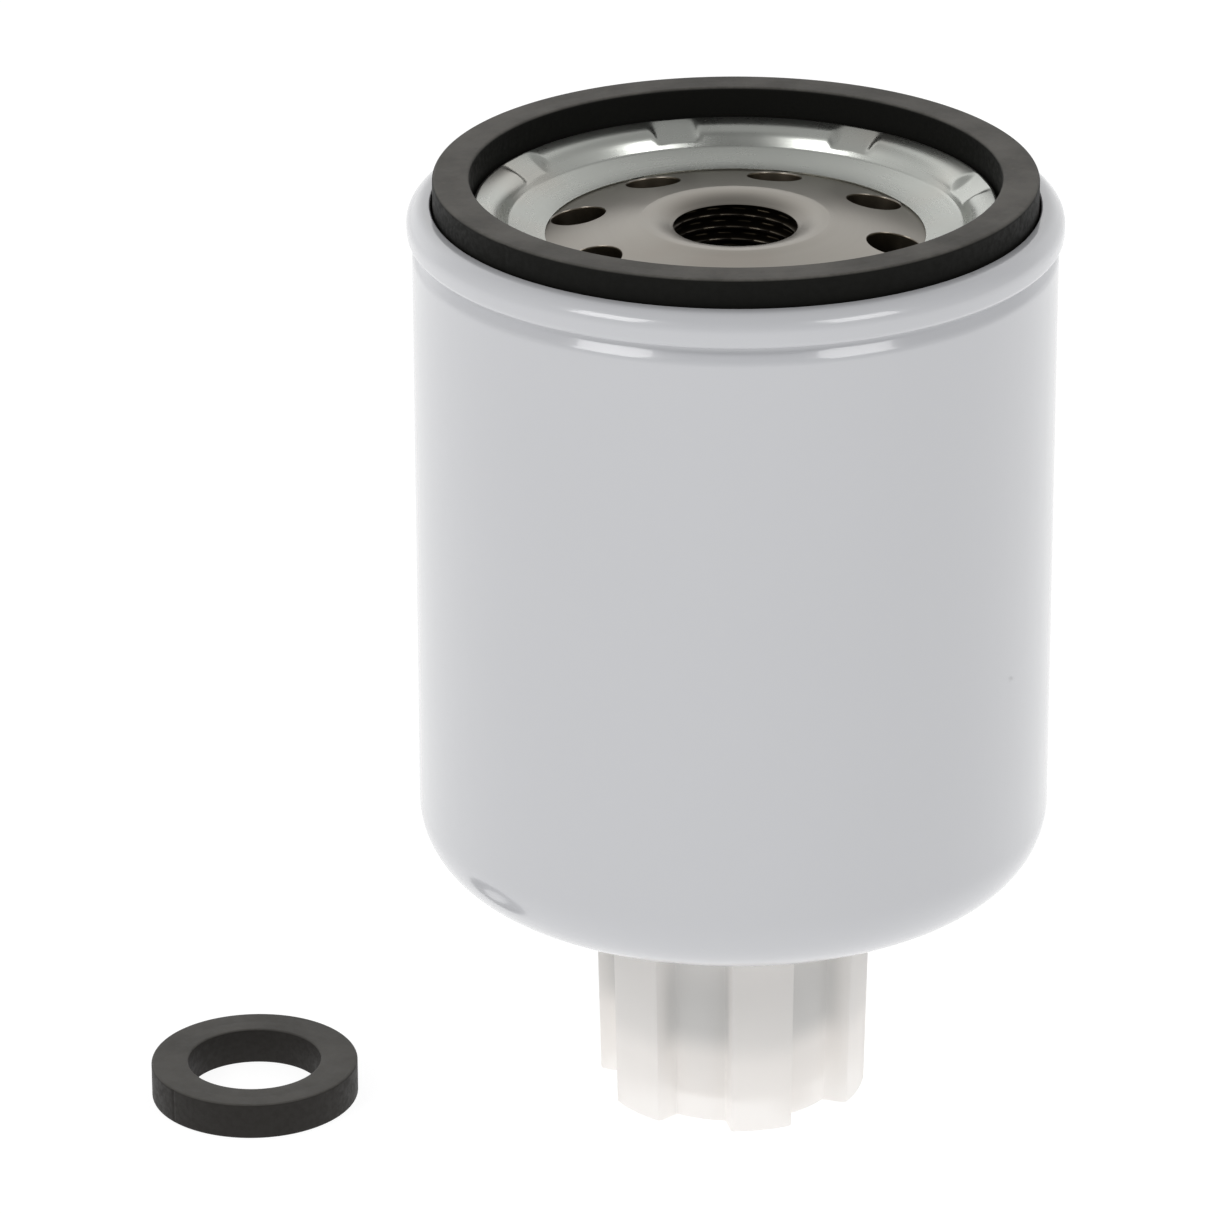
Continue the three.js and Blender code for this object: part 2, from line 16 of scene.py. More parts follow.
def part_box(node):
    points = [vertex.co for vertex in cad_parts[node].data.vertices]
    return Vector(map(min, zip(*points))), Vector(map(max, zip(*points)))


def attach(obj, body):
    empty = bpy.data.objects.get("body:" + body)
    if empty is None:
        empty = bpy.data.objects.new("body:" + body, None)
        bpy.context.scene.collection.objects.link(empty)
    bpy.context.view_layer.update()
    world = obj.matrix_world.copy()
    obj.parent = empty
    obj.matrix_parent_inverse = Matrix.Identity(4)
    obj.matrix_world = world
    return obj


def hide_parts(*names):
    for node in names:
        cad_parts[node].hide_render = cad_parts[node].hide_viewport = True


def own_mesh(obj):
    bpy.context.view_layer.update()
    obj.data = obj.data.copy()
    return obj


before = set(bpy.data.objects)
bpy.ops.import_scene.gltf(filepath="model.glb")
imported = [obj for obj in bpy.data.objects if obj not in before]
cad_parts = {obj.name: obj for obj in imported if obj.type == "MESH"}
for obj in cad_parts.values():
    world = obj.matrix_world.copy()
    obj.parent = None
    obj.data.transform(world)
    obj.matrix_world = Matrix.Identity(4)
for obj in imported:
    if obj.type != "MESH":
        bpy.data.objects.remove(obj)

log = logging.getLogger("filter")

MM = 0.001
TURN = 2.0 * math.pi
Section = list[tuple[float, float]]
Corner = tuple[float, float, float]
Warp = Callable[[np.ndarray, np.ndarray, np.ndarray], tuple[np.ndarray, np.ndarray]]
Socket = bpy.types.NodeSocket


# ------------------------------------------------------------------ measures taken from the frame
@dataclass(frozen=True)
class Extent:
    """Height span and outer radius of a CAD node, about its own upright axis."""

    low: float
    high: float
    radius: float
    centre: tuple[float, float]

    @classmethod
    def of(cls, node: str) -> "Extent":
        """Measure a CAD node.

        Args:
            node: Name of the CAD node.

        Returns:
            Its extent in millimetres.
        """
        low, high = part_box(node)
        centre = ((low.x + high.x) / 2 / MM, (low.y + high.y) / 2 / MM)
        radius = max(high.x - low.x, high.y - low.y) / 2 / MM
        return cls(low.z / MM, high.z / MM, radius, centre)


# ------------------------------------------------------------------ sections and meshes
def rounded(corners: Sequence[Corner], closed: bool = True, step_deg: float = 12.0) -> Section:
    """Round the corners of a section.

    Args:
        corners: Radius, height and fillet radius of each corner.
        closed: Whether the last corner joins the first.
        step_deg: Largest turn between two points of a fillet.

    Returns:
        Points of the section, with each fillet as an arc.
    """
    points: Section = []
    count = len(corners)
    for i, (r, z, fillet) in enumerate(corners):
        at_end = not closed and i in (0, count - 1)
        if fillet <= 0.0 or at_end:
            points.append((r, z))
            continue
        here = np.array([r, z])
        back = np.array(corners[i - 1][:2]) - here
        ahead = np.array(corners[(i + 1) % count][:2]) - here
        back_len, ahead_len = np.linalg.norm(back), np.linalg.norm(ahead)
        u, v = back / back_len, ahead / ahead_len
        angle = math.acos(float(np.clip(u @ v, -1.0, 1.0)))
        if math.pi - angle < 1e-3:
            points.append((r, z))
            continue
        reach = min(fillet / math.tan(angle / 2), 0.499 * back_len, 0.499 * ahead_len)
        radius = reach * math.tan(angle / 2)
        middle = here + (u + v) / np.linalg.norm(u + v) * radius / math.sin(angle / 2)
        start, end = here + u * reach - middle, here + v * reach - middle
        sweep = math.atan2(start[0] * end[1] - start[1] * end[0], start @ end)
        steps = max(2, math.ceil(abs(sweep) / math.radians(step_deg)))
        for k in range(steps + 1):
            a = sweep * k / steps
            turn = np.array([[math.cos(a), -math.sin(a)], [math.sin(a), math.cos(a)]])
            x, y = middle + turn @ start
            points.append((float(x), float(y)))
    return points


def dense(section: Section, step: float, low: float = -1e9, high: float = 1e9) -> Section:
    """Add points to the straight stretches of an open section, between two heights.

    Args:
        section: Points of the section.
        step: Largest distance between two points.
        low: Lowest height to add points at.
        high: Highest height to add points at.

    Returns:
        The section with its added points.
    """
    out: Section = [section[0]]
    for (r0, z0), (r1, z1) in zip(section, section[1:]):
        span = math.hypot(r1 - r0, z1 - z0)
        inside = low <= min(z0, z1) and max(z0, z1) <= high
        pieces = max(1, math.ceil(span / step)) if inside else 1
        out += [(r0 + (r1 - r0) * k / pieces, z0 + (z1 - z0) * k / pieces)
                for k in range(1, pieces + 1)]
    return out


def add_mesh(name: str, points: np.ndarray, faces: list[tuple[int, ...]],
             sharp_deg: float = 38.0) -> bpy.types.Object:
    """Make a mesh object with its faces outward and its shading smooth up to an angle.

    Args:
        name: Name of the piece.
        points: Vertices in millimetres.
        faces: Vertex numbers of each face.
        sharp_deg: Faces that meet at more than this stay sharp.

    Returns:
        The new object, at the origin.
    """
    mesh = bpy.data.meshes.new(name)
    mesh.from_pydata((points * MM).tolist(), [], faces)
    piece = bpy.data.objects.new(name, mesh)
    bpy.context.scene.collection.objects.link(piece)
    face_outward(mesh)
    smooth(mesh, sharp_deg)
    return piece


def face_outward(mesh: bpy.types.Mesh) -> None:
    """Turn every face over if the closed mesh encloses a negative volume."""
    mesh.calc_loop_triangles()
    corners = np.empty(len(mesh.loop_triangles) * 3, np.int32)
    mesh.loop_triangles.foreach_get("vertices", corners)
    co = np.empty(len(mesh.vertices) * 3, np.float64)
    mesh.vertices.foreach_get("co", co)
    a, b, c = co.reshape(-1, 3)[corners.reshape(-1, 3)].transpose(1, 0, 2)
    if np.einsum("ij,ij->i", a, np.cross(b, c)).sum() < 0.0:
        mesh.flip_normals()


def smooth(mesh: bpy.types.Mesh, sharp_deg: float) -> None:
    """Shade a mesh smooth, with creases where its faces turn by more than an angle."""
    mesh.shade_smooth()
    mesh.set_sharp_from_angle(angle=math.radians(sharp_deg))
    mesh.update()


def revolve(name: str, section: Section, segments: int = 192, closed: bool = True,
            warp: Optional[Warp] = None, centre: tuple[float, float] = (0.0, 0.0),
            sharp_deg: float = 38.0) -> bpy.types.Object:
    """Turn a section about an upright axis.

    Args:
        name: Name of the piece.
        section: Radius and height of each point. An open one starts and ends on the axis.
        segments: Number of steps round the axis.
        closed: Whether the section is a closed loop.
        warp: Changes radius and height from radius, height and angle.
        centre: Place of the axis in plan.
        sharp_deg: Faces that meet at more than this stay sharp.

    Returns:
        The new piece.
    """
    rows = np.array(section if closed else section[1:-1])
    theta = np.arange(segments) * TURN / segments
    r = np.repeat(rows[:, :1], segments, axis=1)
    z = np.repeat(rows[:, 1:], segments, axis=1)
    angle = np.repeat(theta[None, :], len(rows), axis=0)
    if warp:
        r, z = warp(r, z, angle)
    points = np.stack([centre[0] + r * np.cos(angle), centre[1] + r * np.sin(angle), z], axis=-1)
    points = points.reshape(-1, 3)
    bands = len(rows) if closed else len(rows) - 1
    i, j = np.meshgrid(np.arange(bands), np.arange(segments), indexing="ij")
    above, beside = (i + 1) % len(rows), (j + 1) % segments
    quads = np.stack([i * segments + j, i * segments + beside,
                      above * segments + beside, above * segments + j], axis=-1)
    faces = [tuple(q) for q in quads.reshape(-1, 4).tolist()]
    if not closed:
        poles = np.array([[centre[0], centre[1], section[0][1]],
                          [centre[0], centre[1], section[-1][1]]])
        first, last = len(points), len(points) + 1
        top = (len(rows) - 1) * segments
        faces += [(first, (k + 1) % segments, k) for k in range(segments)]
        faces += [(last, top + k, top + (k + 1) % segments) for k in range(segments)]
        points = np.vstack([points, poles])
    return add_mesh(name, points, faces, sharp_deg)


def sheet_section(line: Sequence[Corner], thickness: float) -> Section:
    """Section of a formed sheet that follows a middle line.

    Args:
        line: Corners of the middle line, with the fillet radius at each.
        thickness: Thickness of the sheet.

    Returns:
        Closed section with both faces of the sheet.
    """
    middle = np.array(rounded(line, closed=False, step_deg=10.0))
    ahead = np.diff(middle, axis=0)
    ahead /= np.linalg.norm(ahead, axis=1)[:, None]
    before = np.vstack([ahead[:1], ahead])
    after = np.vstack([ahead, ahead[-1:]])
    normal = np.stack([-(before + after)[:, 1], (before + after)[:, 0]], axis=1)
    length = np.linalg.norm(normal, axis=1)[:, None]
    offset = normal / length * (thickness / 2) / (length / 2)
    loop = np.vstack([middle + offset, (middle - offset)[::-1]])
    return [(float(r), float(z)) for r, z in loop]


def screw_depth(z: np.ndarray, angle: np.ndarray, pitch: float) -> np.ndarray:
    """Share of full depth of a right-hand 60 degree thread, 0 at its roots and 1 at its crests."""
    place = np.abs(np.mod(z / pitch - angle / TURN, 1.0) - 0.5)
    return np.clip((0.375 - place) / (0.375 - 0.0625), 0.0, 1.0)


# ------------------------------------------------------------------ node helpers
class Graph:
    """A node tree with short ways to add and join its nodes."""

    def __init__(self, tree: bpy.types.NodeTree) -> None:
        """Keep the tree and start with an empty row of nodes."""
        self.tree = tree
        self.count = 0

    def add(self, kind: str, settings: Optional[dict] = None, **inputs) -> bpy.types.Node:
        """Add a node.

        Args:
            kind: Blender's identifier of the node.
            settings: Properties of the node, by name.
            **inputs: Values or sockets for its inputs; an underscore stands for a space.

        Returns:
            The new node.
        """
        node = self.tree.nodes.new(kind)
        node.location = (180 * self.count, 0)
        self.count += 1
        for key, value in (settings or {}).items():
            setattr(node, key, value)
        for label, value in inputs.items():
            self.put(node.inputs[label.replace("_", " ")], value)
        return node

    def put(self, socket: Socket, value) -> None:
        """Give an input a value, or join it to an output."""
        if isinstance(value, bpy.types.NodeSocket):
            self.tree.links.new(value, socket)
        else:
            socket.default_value = value

    def math(self, operation: str, a, b=0.0, c=0.0, clamp: bool = False) -> Socket:
        """Work out a number from up to three others.

        Args:
            operation: Blender's name of the operation.
            a: First value or socket.
            b: Second value or socket.
            c: Third value or socket.
            clamp: Whether the result is kept between 0 and 1.

        Returns:
            The result's socket.
        """
        node = self.add("ShaderNodeMath", {"operation": operation, "use_clamp": clamp})
        for socket, value in zip(node.inputs, (a, b, c)):
            self.put(socket, value)
        return node.outputs[0]

    def mix(self, factor, a, b) -> Socket:
        """Blend two colours by a factor."""
        node = self.add("ShaderNodeMix", {"data_type": "RGBA"})
        for index, value in ((0, factor), (6, a), (7, b)):
            self.put(node.inputs[index], value)
        return node.outputs[2]

    def spread(self, value, low: float, high: float, to_low: float = 0.0,
               to_high: float = 1.0) -> Socket:
        """Map a range of a value smoothly onto another range."""
        node = self.add("ShaderNodeMapRange", {"interpolation_type": "SMOOTHSTEP"})
        for index, item in enumerate((value, low, high, to_low, to_high)):
            self.put(node.inputs[index], item)
        return node.outputs[0]

    def noise(self, vector: Socket, scale, detail: float = 4.0, rough: float = 0.55) -> Socket:
        """Noise between 0 and 1 at a place."""
        node = self.add("ShaderNodeTexNoise", Vector=vector, Scale=scale, Detail=detail,
                        Roughness=rough)
        return node.outputs["Fac"]

    def split(self, vector: Socket) -> tuple[Socket, Socket, Socket]:
        """The three parts of a vector."""
        node = self.add("ShaderNodeSeparateXYZ", Vector=vector)
        return node.outputs[0], node.outputs[1], node.outputs[2]

    def join(self, x, y, z) -> Socket:
        """A vector from three parts."""
        node = self.add("ShaderNodeCombineXYZ")
        for socket, value in zip(node.inputs, (x, y, z)):
            self.put(socket, value)
        return node.outputs[0]


class SocketKind(Enum):
    """Kinds of named input and output of a node group."""

    NUMBER = "NodeSocketFloat"
    WHOLE = "NodeSocketInt"
    VECTOR = "NodeSocketVector"
    COLOUR = "NodeSocketColor"
    GEOMETRY = "NodeSocketGeometry"
    OBJECT = "NodeSocketObject"
    MATERIAL = "NodeSocketMaterial"


def new_group(name: str, kind: str, inputs: dict, outputs: dict) -> tuple[Graph, dict, bpy.types.Node]:
    """Start a node group.

    Args:
        name: Name of the group.
        kind: Blender's identifier of the tree.
        inputs: Socket kind and starting value of each named input.
        outputs: Socket kind of each named output.

    Returns:
        The graph, its input sockets by name, and its output node.
    """
    tree = bpy.data.node_groups.new(name, kind)
    for label, (socket_kind, value) in inputs.items():
        item = tree.interface.new_socket(label, in_out="INPUT", socket_type=socket_kind.value)
        if value is not None:
            item.default_value = value
    for label, socket_kind in outputs.items():
        tree.interface.new_socket(label, in_out="OUTPUT", socket_type=socket_kind.value)
    graph = Graph(tree)
    source = graph.add("NodeGroupInput")
    sink = graph.add("NodeGroupOutput")
    return graph, {label: source.outputs[label] for label in inputs}, sink


# ------------------------------------------------------------------ shared surface effects
class Effects:
    """Shader node groups that more than one finish uses, each built once."""

    @staticmethod
    def mottle() -> bpy.types.NodeTree:
        """Cloudy variation at two sizes: soft patches broken up by a finer grain."""
        name = "mottle"
        if name in bpy.data.node_groups:
            return bpy.data.node_groups[name]
        graph, given, sink = new_group(
            name, "ShaderNodeTree",
            {"Vector": (SocketKind.VECTOR, None), "Patch scale": (SocketKind.NUMBER, 60.0),
             "Grain scale": (SocketKind.NUMBER, 900.0), "Grain share": (SocketKind.NUMBER, 0.35),
             "Contrast": (SocketKind.NUMBER, 1.0)},
            {"Mask": SocketKind.NUMBER, "Grain": SocketKind.NUMBER})
        patch = graph.noise(given["Vector"], given["Patch scale"], 5.0, 0.6)
        grain = graph.noise(given["Vector"], given["Grain scale"], 3.0, 0.6)
        gap = graph.math("SUBTRACT", grain, patch)
        both = graph.math("MULTIPLY_ADD", gap, given["Grain share"], patch)
        centred = graph.math("SUBTRACT", both, 0.5)
        swing = graph.math("MULTIPLY", centred, given["Contrast"])
        graph.put(sink.inputs["Mask"], graph.math("MULTIPLY_ADD", swing, 2.2, 0.5, clamp=True))
        graph.put(sink.inputs["Grain"], grain)
        return graph.tree

    @staticmethod
    def specks() -> bpy.types.NodeTree:
        """Scattered small marks, such as dust, pits or knocks."""
        name = "specks"
        if name in bpy.data.node_groups:
            return bpy.data.node_groups[name]
        graph, given, sink = new_group(
            name, "ShaderNodeTree",
            {"Vector": (SocketKind.VECTOR, None), "Scale": (SocketKind.NUMBER, 250.0),
             "Size": (SocketKind.NUMBER, 0.12), "Share": (SocketKind.NUMBER, 0.15)},
            {"Mask": SocketKind.NUMBER})
        cells = graph.add("ShaderNodeTexVoronoi", Vector=given["Vector"], Scale=given["Scale"])
        ragged = graph.math("MULTIPLY_ADD", graph.noise(given["Vector"], 2400.0, 2.0), 0.16,
                            cells.outputs["Distance"])
        edge = graph.math("SUBTRACT", given["Size"], graph.math("SUBTRACT", ragged, 0.08))
        spot = graph.math("MULTIPLY", edge, 40.0, clamp=True)
        pick = graph.split(cells.outputs["Color"])[0]
        chosen = graph.math("LESS_THAN", pick, given["Share"])
        graph.put(sink.inputs["Mask"], graph.math("MULTIPLY", spot, chosen))
        return graph.tree

    @staticmethod
    def turned_lines() -> bpy.types.NodeTree:
        """Fine lines that run round the upright axis, by radius and height."""
        name = "turned_lines"
        if name in bpy.data.node_groups:
            return bpy.data.node_groups[name]
        graph, given, sink = new_group(
            name, "ShaderNodeTree",
            {"Vector": (SocketKind.VECTOR, None), "Scale": (SocketKind.NUMBER, 2600.0)},
            {"Height": SocketKind.NUMBER})
        x, y, z = graph.split(given["Vector"])
        radius = graph.math("SQRT", graph.math("ADD", graph.math("MULTIPLY", x, x),
                                               graph.math("MULTIPLY", y, y)))
        angle = graph.math("MULTIPLY", graph.math("ARCTAN2", y, x), 0.0006)
        place = graph.join(radius, z, angle)
        graph.put(sink.inputs["Height"], graph.noise(place, given["Scale"], 3.0, 0.7))
        return graph.tree

    @staticmethod
    def orange_peel() -> bpy.types.NodeTree:
        """The slight waviness of stoved gloss paint."""
        name = "orange_peel"
        if name in bpy.data.node_groups:
            return bpy.data.node_groups[name]
        graph, given, sink = new_group(
            name, "ShaderNodeTree",
            {"Vector": (SocketKind.VECTOR, None), "Scale": (SocketKind.NUMBER, 420.0)},
            {"Height": SocketKind.NUMBER})
        coarse = graph.noise(given["Vector"], given["Scale"], 1.5, 0.4)
        slow = graph.noise(given["Vector"], graph.math("MULTIPLY", given["Scale"], 0.12), 1.0, 0.4)
        graph.put(sink.inputs["Height"], graph.math("MULTIPLY_ADD", slow, 1.6, coarse))
        return graph.tree


# ------------------------------------------------------------------ finishes
@dataclass(frozen=True)
class Finish:
    """A surface finish: the record's slot, its colour and its gloss."""

    slot: str
    colour: tuple[float, float, float]
    roughness: float
    metallic: float = 0.0
    bump: float = 0.2
    batch: str = "a"

    def material(self) -> bpy.types.Material:
        """The finish's material, made the first time it is asked for."""
        name = f"{self.slot}_{self.batch}"
        if name in bpy.data.materials:
            return bpy.data.materials[name]
        material = bpy.data.materials.new(name)
        material.use_nodes = True
        graph = Graph(material.node_tree)
        shader = material.node_tree.nodes["Principled BSDF"]
        shader.inputs["Metallic"].default_value = self.metallic
        place = graph.add("ShaderNodeTexCoord").outputs["Object"]
        self.paint(graph, shader, place)
        return material

    def paint(self, graph: Graph, shader: bpy.types.Node, place: Socket) -> None:
        """Join the finish's pattern to the shader.

        Args:
            graph: The material's graph.
            shader: Its Principled shader.
            place: Object coordinates, in metres.
        """
        raise NotImplementedError

    def tone(self, share: float) -> tuple[float, float, float, float]:
        """The finish's colour, darker below 1 and lighter above it."""
        return (*[min(1.0, c * share) for c in self.colour], 1.0)

    def effect(self, graph: Graph, tree: bpy.types.NodeTree, place: Socket, **inputs) -> bpy.types.Node:
        """Place a shared effect in this material with its own values."""
        return graph.add("ShaderNodeGroup", {"node_tree": tree}, Vector=place, **inputs)

    def relief(self, graph: Graph, shader: bpy.types.Node, height: Socket, distance: float) -> None:
        """Feed a height to the shader's normal, with a depth in metres."""
        bump = graph.add("ShaderNodeBump", Strength=self.bump, Distance=distance, Height=height)
        graph.put(shader.inputs["Normal"], bump.outputs["Normal"])

    def dress(self, piece: bpy.types.Object) -> bpy.types.Object:
        """Give the piece this material."""
        piece.data.materials.clear()
        piece.data.materials.append(self.material())
        return piece


@dataclass(frozen=True)
class GlossPaint(Finish):
    """Stoved gloss paint with a clear skin, faint clouding and a few dark knocks at the rim."""

    rim_radius: float = 35.2
    rim_low: float = 111.0

    def paint(self, graph: Graph, shader: bpy.types.Node, place: Socket) -> None:
        """Join clouding, knocks and orange peel to the shader."""
        cloud = self.effect(graph, Effects.mottle(), place, Patch_scale=35.0, Grain_scale=500.0)
        clean = graph.mix(cloud.outputs["Mask"], self.tone(0.985), self.tone(1.0))
        x, y, z = graph.split(place)
        radius = graph.math("SQRT", graph.math("ADD", graph.math("MULTIPLY", x, x),
                                               graph.math("MULTIPLY", y, y)))
        near = graph.spread(radius, (self.rim_radius + 1.6) * MM, self.rim_radius * MM)
        high = graph.spread(z, self.rim_low * MM, (self.rim_low + 0.5) * MM)
        knocks = self.effect(graph, Effects.specks(), place, Scale=420.0, Size=0.2, Share=0.16)
        lane = graph.math("MULTIPLY", graph.math("MULTIPLY", near, high), knocks.outputs["Mask"])
        patchy = graph.spread(graph.noise(place, 55.0, 2.0), 0.5, 0.62)
        wear = graph.math("MULTIPLY", lane, patchy)
        dust = self.effect(graph, Effects.specks(), place, Scale=95.0, Size=0.05, Share=0.06)
        marks = graph.math("MAXIMUM", graph.math("MULTIPLY", wear, 0.75),
                           graph.math("MULTIPLY", dust.outputs["Mask"], 0.3))
        graph.put(shader.inputs["Base Color"], graph.mix(marks, clean, (0.12, 0.12, 0.11, 1.0)))
        rough = graph.spread(cloud.outputs["Mask"], 0.0, 1.0, self.roughness * 0.85,
                             self.roughness * 1.25)
        graph.put(shader.inputs["Roughness"], graph.math("MULTIPLY_ADD", marks, 0.4, rough))
        shader.inputs["Coat Weight"].default_value = 0.6
        shader.inputs["Coat Roughness"].default_value = 0.05
        peel = self.effect(graph, Effects.orange_peel(), place, Scale=430.0)
        self.relief(graph, shader, peel.outputs["Height"], 0.00004)


@dataclass(frozen=True)
class FormedSteel(Finish):
    """Pressed sheet steel: faint forming lines round the axis, soft plating clouds, scuffs."""

    line_scale: float = 1800.0
    cloud: float = 0.5
    stain: tuple[float, float, float] = (0.4, 0.36, 0.3)
    stain_share: float = 0.25

    def paint(self, graph: Graph, shader: bpy.types.Node, place: Socket) -> None:
        """Join plating clouds, stains, lines and scuffs to the shader."""
        cloud = self.effect(graph, Effects.mottle(), place, Patch_scale=75.0, Grain_scale=900.0,
                            Grain_share=0.12, Contrast=self.cloud)
        lines = self.effect(graph, Effects.turned_lines(), place, Scale=self.line_scale)
        scuffs = self.effect(graph, Effects.specks(), place, Scale=230.0, Size=0.07, Share=0.08)
        plated = graph.mix(cloud.outputs["Mask"], self.tone(0.9), self.tone(1.1))
        warm = graph.spread(graph.noise(place, 60.0, 2.0), 0.5, 0.72, 0.0, self.stain_share)
        stained = graph.mix(warm, plated, (*self.stain, 1.0))
        dull = graph.math("MULTIPLY", scuffs.outputs["Mask"], 0.45)
        worn = graph.mix(dull, stained, self.tone(0.5))
        graph.put(shader.inputs["Base Color"], self.shade(graph, place, worn))
        streak = graph.math("MULTIPLY_ADD", lines.outputs["Height"], 0.08, -0.04)
        level = graph.spread(cloud.outputs["Mask"], 0.2, 0.8, self.roughness * 0.88,
                             self.roughness * 1.15)
        graph.put(shader.inputs["Roughness"], graph.math("ADD", streak, level, clamp=True))
        height = graph.math("MULTIPLY_ADD", cloud.outputs["Grain"], 0.5, lines.outputs["Height"])
        self.relief(graph, shader, height, 0.000004)

    def shade(self, graph: Graph, place: Socket, colour: Socket) -> Socket:
        """Change the colour by place; plain sheet keeps it."""
        return colour


@dataclass(frozen=True)
class PlateWithPaintedShade(FormedSteel):
    """Hot-rolled plate with painted shade: darker on its underside and in its holes, darkest in its
    thread, with painted glints left on the thread's crests.
    """

    # painted shade colours: the first for the bore of the thread, the second for faces that don't look up
    bore_shade: tuple[float, float, float] = (0.036, 0.029, 0.02)
    side_shade: tuple[float, float, float] = (0.2, 0.17, 0.13)
    crest_r: float = 7.2
    mouth_r: float = 7.32
    mouth_z: float = 108.98
    root_r: float = 8.2
    # painted shaded ring round the thread's mouth, fading outward
    mouth_shade_r: float = 9.6
    mouth_shade_share: float = 0.3

    def shade(self, graph: Graph, place: Socket, colour: Socket) -> Socket:
        """Paint shade on every face that doesn't look up, a darker painted shade in the thread with
        lighter painted glints on its crests, and a painted shaded ring round the mouth.
        """
        facing = graph.split(graph.add("ShaderNodeNewGeometry").outputs["Normal"])[2]
        # painted shade: faces that don't look up, such as hole walls and the underside, are darkened
        wall = graph.spread(facing, 0.35, 0.75, 1.0, 0.0)
        side_shaded = graph.mix(wall, colour, (*self.side_shade, 1.0))
        x, y, z = graph.split(place)
        radius = graph.math("SQRT", graph.math("ADD", graph.math("MULTIPLY", x, x),
                                               graph.math("MULTIPLY", y, y)))
        # painted shade in the bore of the thread, below its mouth
        inside = graph.spread(radius, self.root_r * MM, (self.root_r + 0.2) * MM, 1.0, 0.0)
        below = graph.spread(z, (self.mouth_z - 0.05) * MM, (self.mouth_z + 0.05) * MM, 1.0, 0.0)
        # painted glint: the thread's crests keep less of the painted shade
        crest = graph.spread(radius, self.crest_r * MM, (self.crest_r + 0.08) * MM, 0.35, 0.0)
        shade_mask = graph.math("SUBTRACT", graph.math("MULTIPLY", inside, below), crest, clamp=True)
        # painted shade on the slope round the mouth, above the bore
        mouth_shade = graph.spread(radius, self.mouth_r * MM, self.mouth_shade_r * MM, self.mouth_shade_share, 0.0)
        mouth_shade = graph.math("MULTIPLY", mouth_shade, graph.math("SUBTRACT", 1.0, below))
        shade_mask = graph.math("MAXIMUM", shade_mask, mouth_shade)
        return graph.mix(shade_mask, side_shaded, (*self.bore_shade, 1.0))


@dataclass(frozen=True)
class MouldedRubber(Finish):
    """Black rubber with a patchy grey bloom and a painted top light, lighter on faces that look up."""

    bloom_and_top_light: tuple[float, float, float] = (0.142, 0.135, 0.123)
    bloom_and_top_light_share: float = 0.9
    sheen: float = 0.1

    def paint(self, graph: Graph, shader: bpy.types.Node, place: Socket) -> None:
        """Join the patchy bloom with painted top light, rubbed streaks and fine grain to the shader."""
        cloud = self.effect(graph, Effects.mottle(), place, Patch_scale=120.0, Grain_scale=1400.0,
                            Contrast=1.2)
        facing = graph.split(graph.add("ShaderNodeNewGeometry").outputs["Normal"])[2]
        # painted top light with patchy bloom: faces that look up are painted lighter
        upward = graph.spread(facing, 0.3, 0.95)
        bloom_and_top_light = graph.math("MULTIPLY", graph.spread(cloud.outputs["Mask"], 0.05, 0.95, 0.55, 1.0),
                           graph.math("MULTIPLY", upward, self.bloom_and_top_light_share))
        bloomed_and_top_lit = graph.mix(bloom_and_top_light, self.tone(1.0), (*self.bloom_and_top_light, 1.0))
        graph.put(shader.inputs["Base Color"], bloomed_and_top_lit)
        graph.put(shader.inputs["Roughness"],
                  graph.spread(cloud.outputs["Grain"], 0.3, 0.7, self.roughness - 0.08,
                               self.roughness + 0.08))
        shader.inputs["Specular IOR Level"].default_value = self.sheen
        fine = graph.noise(place, 3200.0, 2.0)
        self.relief(graph, shader, graph.math("MULTIPLY_ADD", fine, 0.5, cloud.outputs["Grain"]),
                    0.00004)


@dataclass(frozen=True)
class MilkyPlastic(Finish):
    """Natural unpigmented plastic: milky where it is thick, with a painted shade that makes it greyer
    where a thin wall lies over the steel boss inside it, standing in for the boss showing through."""

    clearness: float = 0.22
    boss_shade: tuple[float, float, float] = (0.72, 0.712, 0.695)
    boss_shade_foot: float = 8.0
    thin_r: float = 13.6
    thick_r: float = 15.8

    def paint(self, graph: Graph, shader: bpy.types.Node, place: Socket) -> None:
        """Join flow marks, the painted shade of the boss showing through and a satin skin to the shader.
        """
        x, y, z = graph.split(place)
        flow = graph.noise(graph.join(x, y, graph.math("MULTIPLY", z, 0.25)), 160.0, 3.0)
        skin = graph.mix(flow, self.tone(0.97), self.tone(1.03))
        radius = graph.math("SQRT", graph.math("ADD", graph.math("MULTIPLY", x, x),
                                               graph.math("MULTIPLY", y, y)))
        # painted shade of the steel boss seen through the wall: strongest where the wall is thin, rising
        # above the boss's foot and fading higher up
        thin_wall_shade = graph.spread(radius, self.thin_r * MM, self.thick_r * MM, 1.0, 0.4)
        rise = graph.spread(z, self.boss_shade_foot * MM, (self.boss_shade_foot + 4.5) * MM)
        fade = graph.spread(z, (self.boss_shade_foot + 7.0) * MM, (self.boss_shade_foot + 17.0) * MM, 1.0, 0.35)
        boss_shade = graph.math("MULTIPLY", thin_wall_shade, graph.math("MULTIPLY", rise, fade))
        graph.put(shader.inputs["Base Color"], graph.mix(boss_shade, skin, (*self.boss_shade, 1.0)))
        graph.put(shader.inputs["Roughness"],
                  graph.spread(flow, 0.3, 0.7, self.roughness * 0.9, self.roughness * 1.1))
        shader.inputs["Transmission Weight"].default_value = self.clearness
        shader.inputs["IOR"].default_value = 1.49
        self.relief(graph, shader, graph.noise(place, 700.0, 2.0), 0.00002)


